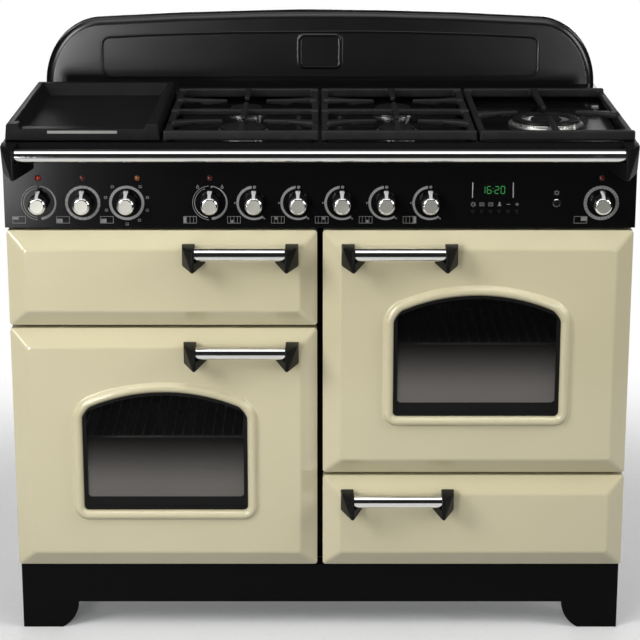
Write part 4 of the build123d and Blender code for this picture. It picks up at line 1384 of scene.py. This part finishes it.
def wire_grid(bm, low, high):
    """A wire shelf: two cross wires and the long wires that lie between them."""
    level = (low.z + high.z) / 2
    for y in (low.y + WIRE, high.y - WIRE):
        wire(bm, (low.x, y, level), (high.x, y, level), WIRE)
    count = int((high.x - low.x) // WIRE_PITCH)
    for step in range(count + 1):
        x = low.x + WIRE + step * (high.x - low.x - 2 * WIRE) / count
        wire(bm, (x, low.y, level), (x, high.y, level), WIRE * 0.8)


class COOKER_OT_ovens(bpy.types.Operator):
    """Build the oven linings, wire shelves, racks, fans and elements"""
    bl_idname = "cooker.ovens"
    bl_label = "Oven Insides"

    def execute(self, context):
        cloned("oven_linings", "oven_liners", "oven", BODY, "black_enamel", 1.4, 2)
        cloned("grill_lining", "grill_chamber", "oven", BODY, "black_enamel", 1.4, 2)
        bm = copy_of("oven_shelves")
        grids = start()
        for shell in groups(bm):
            near, far = extent(shell)
            if far.x - near.x > SHELF_LEAST:
                wire_grid(grids, near, far)
                continue
            pick = min if min(abs(near.x), abs(far.x)) < 100 else max
            wall = pick((near.x, far.x), key=abs)
            toward = 1 if (near.x + far.x) / 2 > wall else -1
            post = wall + toward * WIRE
            rail = wall + toward * RACK_END
            posts = (near.y + RACK_END, far.y - RACK_END)
            for y in posts:
                wire(grids, (post, y, near.z), (post, y, far.z), WIRE)
            for rung in (near.z + rise for rise in RUNGS):
                wire(grids, (rail, near.y, rung), (rail, far.y, rung), WIRE)
                for y in posts:
                    wire(grids, (wall + toward * 1.0, y, rung), (wall + toward * 15.0, y, rung), 2.2)
        bm.free()
        place("oven_wirework", grids, ["wire"], BODY, ["oven_shelves"], "plated_steel", weighted=False)
        for node in ("left_oven_fan", "right_oven_fan"):
            cloned(node + "_wheel", node, "zinc", node, "plated_steel", 0.5, 2)
        dress("heating_elements", "satin_black")
        dress("fan_motors", "zinc")
        cloned("hinge_brackets", "door_hinges", "zinc", BODY, "plated_steel", 0.6, 2)
        return {"FINISHED"}


class COOKER_OT_drawers(bpy.types.Operator):
    """Build the grill carriage, grill pan with trivet, storage tray and runners"""
    bl_idname = "cooker.drawers"
    bl_label = "Drawer Insides"

    def execute(self, context):
        cloned("grill_slide_frame", "grill_carriage", "satin_black", "grill_drawer", "black_enamel", 1.0, 2)
        bm = copy_of("grill_pan")
        trivet = shells_by_area(bm)[0]
        near, far = extent(trivet)
        bmesh.ops.delete(bm, geom=trivet, context="FACES")
        soften(bm, 1.4, 3)
        place("grill_pan_tray", bm, ["oven"], "grill_drawer", ["grill_pan"], "black_enamel")
        bm = start()
        wire_grid(bm, Vector((near.x, near.y, far.z - 2 * WIRE)), far)
        for x in (near.x + WIRE, far.x - WIRE):
            for y in (near.y + WIRE, far.y - WIRE):
                wire(bm, (x, y, near.z), (x, y, far.z - 1.0), WIRE)
        place("grill_trivet", bm, ["wire"], "grill_drawer", slot="plated_steel", weighted=False)
        cloned("storage_box", "storage_tray", "satin_black", "storage_drawer", "black_enamel", 1.0, 2)
        cloned("drawer_runners", "slide_runners", "zinc", BODY, "plated_steel", 0.8, 2)
        return {"FINISHED"}


# Outside of the body
def opening(bm, sides, corner):
    """Draw a rectangle with rounded corners on the rear sheet."""
    face = upright(bm, oblong(*sides), Y_BACK)
    ease(bm, list(face.verts), corner, 3, "VERTICES")


CABLE_ENTRY = (420.0, Y_BACK, 800.0)
CABLE_HOLE = 12.5
CABLE_COLLAR = 18.0
GAS_WINDOW = (242.0, 282.0, 780.0, 820.0)
VENT_ROWS = (210.0, 260.0, 640.0, 690.0)
VENT_COUNT = 22
VENT_FIRST = 60.0
VENT_PITCH = 20.0
VENT_WIDE = 6.0
VENT_TALL = 32.0


def rear_sheet(bm, left, right, bottom, top):
    """The rear sheet with its rows of vent slots, gas inlet window and cable hole."""
    upright(bm, oblong(left, right, bottom, top), Y_BACK)
    opening(bm, GAS_WINDOW, 4.0)
    place_hole = Matrix.Translation(CABLE_ENTRY) @ Matrix.Rotation(math.pi / 2, 4, "X")
    bmesh.ops.create_circle(bm, cap_ends=True, segments=40, radius=CABLE_HOLE, matrix=place_hole)
    for z in VENT_ROWS:
        for side in (-1, 1):
            for step in range(VENT_COUNT):
                x = side * (VENT_FIRST + step * VENT_PITCH)
                sides = (x - VENT_WIDE / 2, x + VENT_WIDE / 2, z - VENT_TALL / 2, z + VENT_TALL / 2)
                opening(bm, sides, 2.9)
    bmesh.ops.delete(bm, geom=list(bm.faces), context="FACES_ONLY")
    bmesh.ops.triangle_fill(bm, use_beauty=True, use_dissolve=False, edges=list(bm.edges))
    pull(bm, list(bm.faces), (0, -SHEET, 0))
    outward(bm)
    collar = oblong(CABLE_HOLE, CABLE_COLLAR, -15.0, -SHEET - 0.1)
    turned(bm, collar + collar[:1], CABLE_ENTRY, BACKWARD, 40)


SCREW_HEAD = ((0.0, -0.2), (5.0, -0.2), (5.0, 0.2), (4.2, 0.5), (2.4, 0.5), (2.2, 0.1), (0.0, 0.1))
SCREW_COLUMNS = (-528.0, -264.0, 0.0, 528.0)
SCREW_ROWS = (135.0, 500.0, 870.0)
FOOT_RADIUS = 25.0
FOOT_TOP = 111.9
THREAD_TURNS = 30
THREAD_START = 18.0
THREAD_PITCH = 3.0
FOOT_PAD = [(0.0, 0.0), (24.0, 0.0), (25.0, 1.2), (25.0, 5.0), (23.0, 7.2), (14.0, 8.0), (11.0, 8.0),
            (11.0, 17.0), (6.0, 17.0)]


class COOKER_OT_casing(bpy.types.Operator):
    """Build the side panels, the rear sheet with its slots, frames, feet and gas fittings"""
    bl_idname = "cooker.casing"
    bl_label = "Casing and Feet"

    def execute(self, context):
        low, high = span("outer_panels")
        bm = start()
        for x in (low.x, high.x - SHEET):
            block(bm, (x, low.y, low.z), (x + SHEET, high.y, high.z))
        soften(bm, 0.9, 3)
        place("side_panels", bm, ["satin_black"], BODY, ["outer_panels"], "black_enamel")
        bm = start()
        inside = SHEET + 0.05
        rear_sheet(bm, low.x + inside, high.x - inside, low.z, high.z)
        place("rear_panel", bm, ["zinc"], BODY, slot="plated_steel")
        screws = start()
        for x in SCREW_COLUMNS:
            for z in SCREW_ROWS:
                turned(screws, SCREW_HEAD, (x, Y_BACK - 0.5, z), BACKWARD, 20)
        place("rear_screws", screws, ["satin"], BODY, slot="plated_steel")
        dress("front_frame", "satin_black")
        cloned("base_pan", "base_frame", "zinc", BODY, "plated_steel", 1.0, 2)
        low, high = span("levelling_feet")
        thread = []
        for step in range(THREAD_TURNS):
            rise = THREAD_START + step * THREAD_PITCH
            thread += [(5.2, rise), (6.0, rise + THREAD_PITCH / 2)]
        bm = start()
        for x in (low.x + FOOT_RADIUS, high.x - FOOT_RADIUS):
            for y in (low.y + FOOT_RADIUS, high.y - FOOT_RADIUS):
                turned(bm, FOOT_PAD + thread + [(6.0, FOOT_TOP), (0.0, FOOT_TOP)], (x, y, 0), UP, 24)
        for face in bm.faces:
            if face.calc_center_median().z > 8.2:
                face.material_index = 1
        place("screw_feet", bm, ["rubber", "zinc"], BODY, ["levelling_feet"], "black_enamel")
        dress("gas_rail", "brass")
        dress("taps_and_switches", "zinc")
        return {"FINISHED"}


# Camera, floor and light
def aim(thing, target):
    way = Vector(target) - thing.location
    thing.rotation_euler = way.to_track_quat("-Z", "Y").to_euler()


def soft_light(name, spot, target, width, height, watts, spread=180.0):
    """A large soft lamp that points at the cooker; a small spread keeps it off the rest."""
    data = bpy.data.lights.new(name, "AREA")
    data.shape = "RECTANGLE"
    data.size = width
    data.size_y = height
    data.energy = watts * bpy.context.scene.cooker_stage.power
    data.spread = math.radians(spread)
    lamp = bpy.data.objects.new(name, data)
    lamp.location = spot
    aim(lamp, target)
    bpy.context.scene.collection.objects.link(lamp)


def studio_world():
    """White for the camera, a pale dome above in reflections, and a dim fill for matt surfaces."""
    recipe = Recipe(bpy.data.worlds.new("studio"))
    bpy.context.scene.world = recipe.material
    where = recipe.node("ShaderNodeTexCoord", output="Generated")
    height = recipe.along("Z", where)
    depth = recipe.along("Y", where)
    dome = recipe.steps(height, 0.70, 0.90) * recipe.steps(depth, 0.45, 0.0) * 0.8
    rear = recipe.steps(depth, 0.1, 0.8) * 0.07
    glow = recipe.larger(recipe.larger(dome, rear), 0.02)
    strength = recipe.larger(recipe.ray("Camera"), recipe.mirrored() * glow) + recipe.ray("Diffuse") * 0.17
    recipe.set(Color=(1.0, 1.0, 1.0), Strength=strength)


def pale_floor():
    """Pale for the camera and in near mirrors, white in the distance, and dark to the light that bounces."""
    recipe = Recipe(bpy.data.materials.new("pale_floor"))
    across = recipe.along("X")
    depth = recipe.along("Y")
    away = recipe.maths("SQRT", across * across + depth * depth, 0.0)
    seen = recipe.ray("Camera")
    mirror = recipe.mirrored()
    pale = recipe.mix(recipe.noise(12, 4.0), (0.84, 0.84, 0.84), (0.90, 0.90, 0.90))
    near = recipe.larger(seen, mirror * recipe.steps(away, 2.1, 1.5))
    recipe.set(Base_Color=recipe.mix(near, (0.10, 0.10, 0.10), pale), Roughness=0.6)
    distant = recipe.larger(mirror * recipe.steps(depth, -1.0, -0.2), seen) * recipe.steps(away, 0.75, 1.5)
    white = recipe.node("ShaderNodeEmission", None, {"Color": (1.0, 1.0, 1.0), "Strength": 1.0})
    matt = Signal(recipe, recipe.shader.outputs[0])
    mixed = recipe.node("ShaderNodeMixShader", None, {0: distant, 1: matt, 2: white})
    recipe.plug(recipe.tree.nodes["Material Output"].inputs["Surface"], mixed)
    return recipe.material


FLOOR_RADIUS = 3.0
SENSOR = 36.0
# Name, place, target, width, height, power and spread of each soft light
LIGHTS = (
    ("key", (-2.2, -1.95, 2.2), (-0.28, -0.1, 0.92), 1.2, 1.6, 11.2, 70.0),
    ("fill", (2.8, -1.2, 2.1), (0, -0.1, 0.66), 1.1, 1.8, 42),
    ("top", (0, -0.95, 2.8), (0, -0.72, 0.9), 2.8, 1.4, 21),
    ("rear", (0, 3.2, 0.8), (0, 0, 0.55), 2.6, 1.2, 45),
    ("left_sheen", (-1.25, -3.1, 1.0), (-0.4, 0.3, 0.95), 0.4, 0.5, 18),
    ("right_sheen", (1.30, -3.1, 1.0), (0.4, 0.3, 0.95), 0.4, 0.5, 7),
    ("left_low", (-1.30, -3.1, 0.35), (-0.5, -0.27, 0.8), 0.7, 0.6, 14),
)


class COOKER_OT_stage(bpy.types.Operator):
    """Set the camera, the pale floor and the soft studio lights"""
    bl_idname = "cooker.stage"
    bl_label = "Stage"

    def execute(self, context):
        scene = context.scene
        stage = scene.cooker_stage
        scene.view_settings.view_transform = "Standard"
        bm = start()
        bmesh.ops.create_circle(bm, cap_ends=True, segments=96, radius=FLOOR_RADIUS)
        mesh = bpy.data.meshes.new("floor")
        bm.to_mesh(mesh)
        bm.free()
        floor = bpy.data.objects.new("floor", mesh)
        scene.collection.objects.link(floor)
        mesh.materials.append(pale_floor())
        studio_world()
        for light in LIGHTS:
            soft_light(*light)
        data = bpy.data.cameras.new("view")
        data.sensor_width = SENSOR
        data.lens = stage.lens
        data.shift_y = stage.shift
        data.clip_end = 60.0
        camera = bpy.data.objects.new("view", data)
        camera.location = (0.0, -stage.camera_back, stage.camera_up)
        camera.rotation_euler = (math.pi / 2 - stage.tilt, 0.0, 0.0)
        scene.collection.objects.link(camera)
        scene.camera = camera
        return {"FINISHED"}


PIECES = (COOKER_OT_fronts, COOKER_OT_door_glass, COOKER_OT_handles, COOKER_OT_knobs, COOKER_OT_fascia,
          COOKER_OT_hob, COOKER_OT_supports, COOKER_OT_splashback, COOKER_OT_ovens, COOKER_OT_drawers,
          COOKER_OT_casing, COOKER_OT_stage)


class COOKER_PT_sidebar(bpy.types.Panel):
    """Sizes, colours and the pieces of the cooker"""
    bl_label = "Range Cooker"
    bl_idname = "COOKER_PT_sidebar"
    bl_space_type = "VIEW_3D"
    bl_region_type = "UI"
    bl_category = "Cooker"

    def draw(self, context):
        layout = self.layout
        for group in (context.scene.cooker_colours, context.scene.cooker_sizes, context.scene.cooker_stage):
            box = layout.box()
            for key in group.__annotations__:
                box.prop(group, key)
        for piece in PIECES:
            layout.operator(piece.bl_idname)


CLASSES = (FinishColours, PieceSizes, StageSettings) + PIECES + (COOKER_PT_sidebar,)


def register():
    for kind in CLASSES:
        bpy.utils.register_class(kind)
    bpy.types.Scene.cooker_colours = bpy.props.PointerProperty(type=FinishColours)
    bpy.types.Scene.cooker_sizes = bpy.props.PointerProperty(type=PieceSizes)
    bpy.types.Scene.cooker_stage = bpy.props.PointerProperty(type=StageSettings)


def unregister():
    del bpy.types.Scene.cooker_stage
    del bpy.types.Scene.cooker_sizes
    del bpy.types.Scene.cooker_colours
    for kind in reversed(CLASSES):
        bpy.utils.unregister_class(kind)


def main():
    register()
    make_finishes()
    bpy.ops.cooker.fronts()
    bpy.ops.cooker.door_glass()
    bpy.ops.cooker.handles()
    bpy.ops.cooker.knobs()
    bpy.ops.cooker.fascia()
    bpy.ops.cooker.hob()
    bpy.ops.cooker.supports()
    bpy.ops.cooker.splashback()
    bpy.ops.cooker.ovens()
    bpy.ops.cooker.drawers()
    bpy.ops.cooker.casing()
    bpy.ops.cooker.stage()
    bpy.context.view_layer.update()


if __name__ == "__main__":
    main()
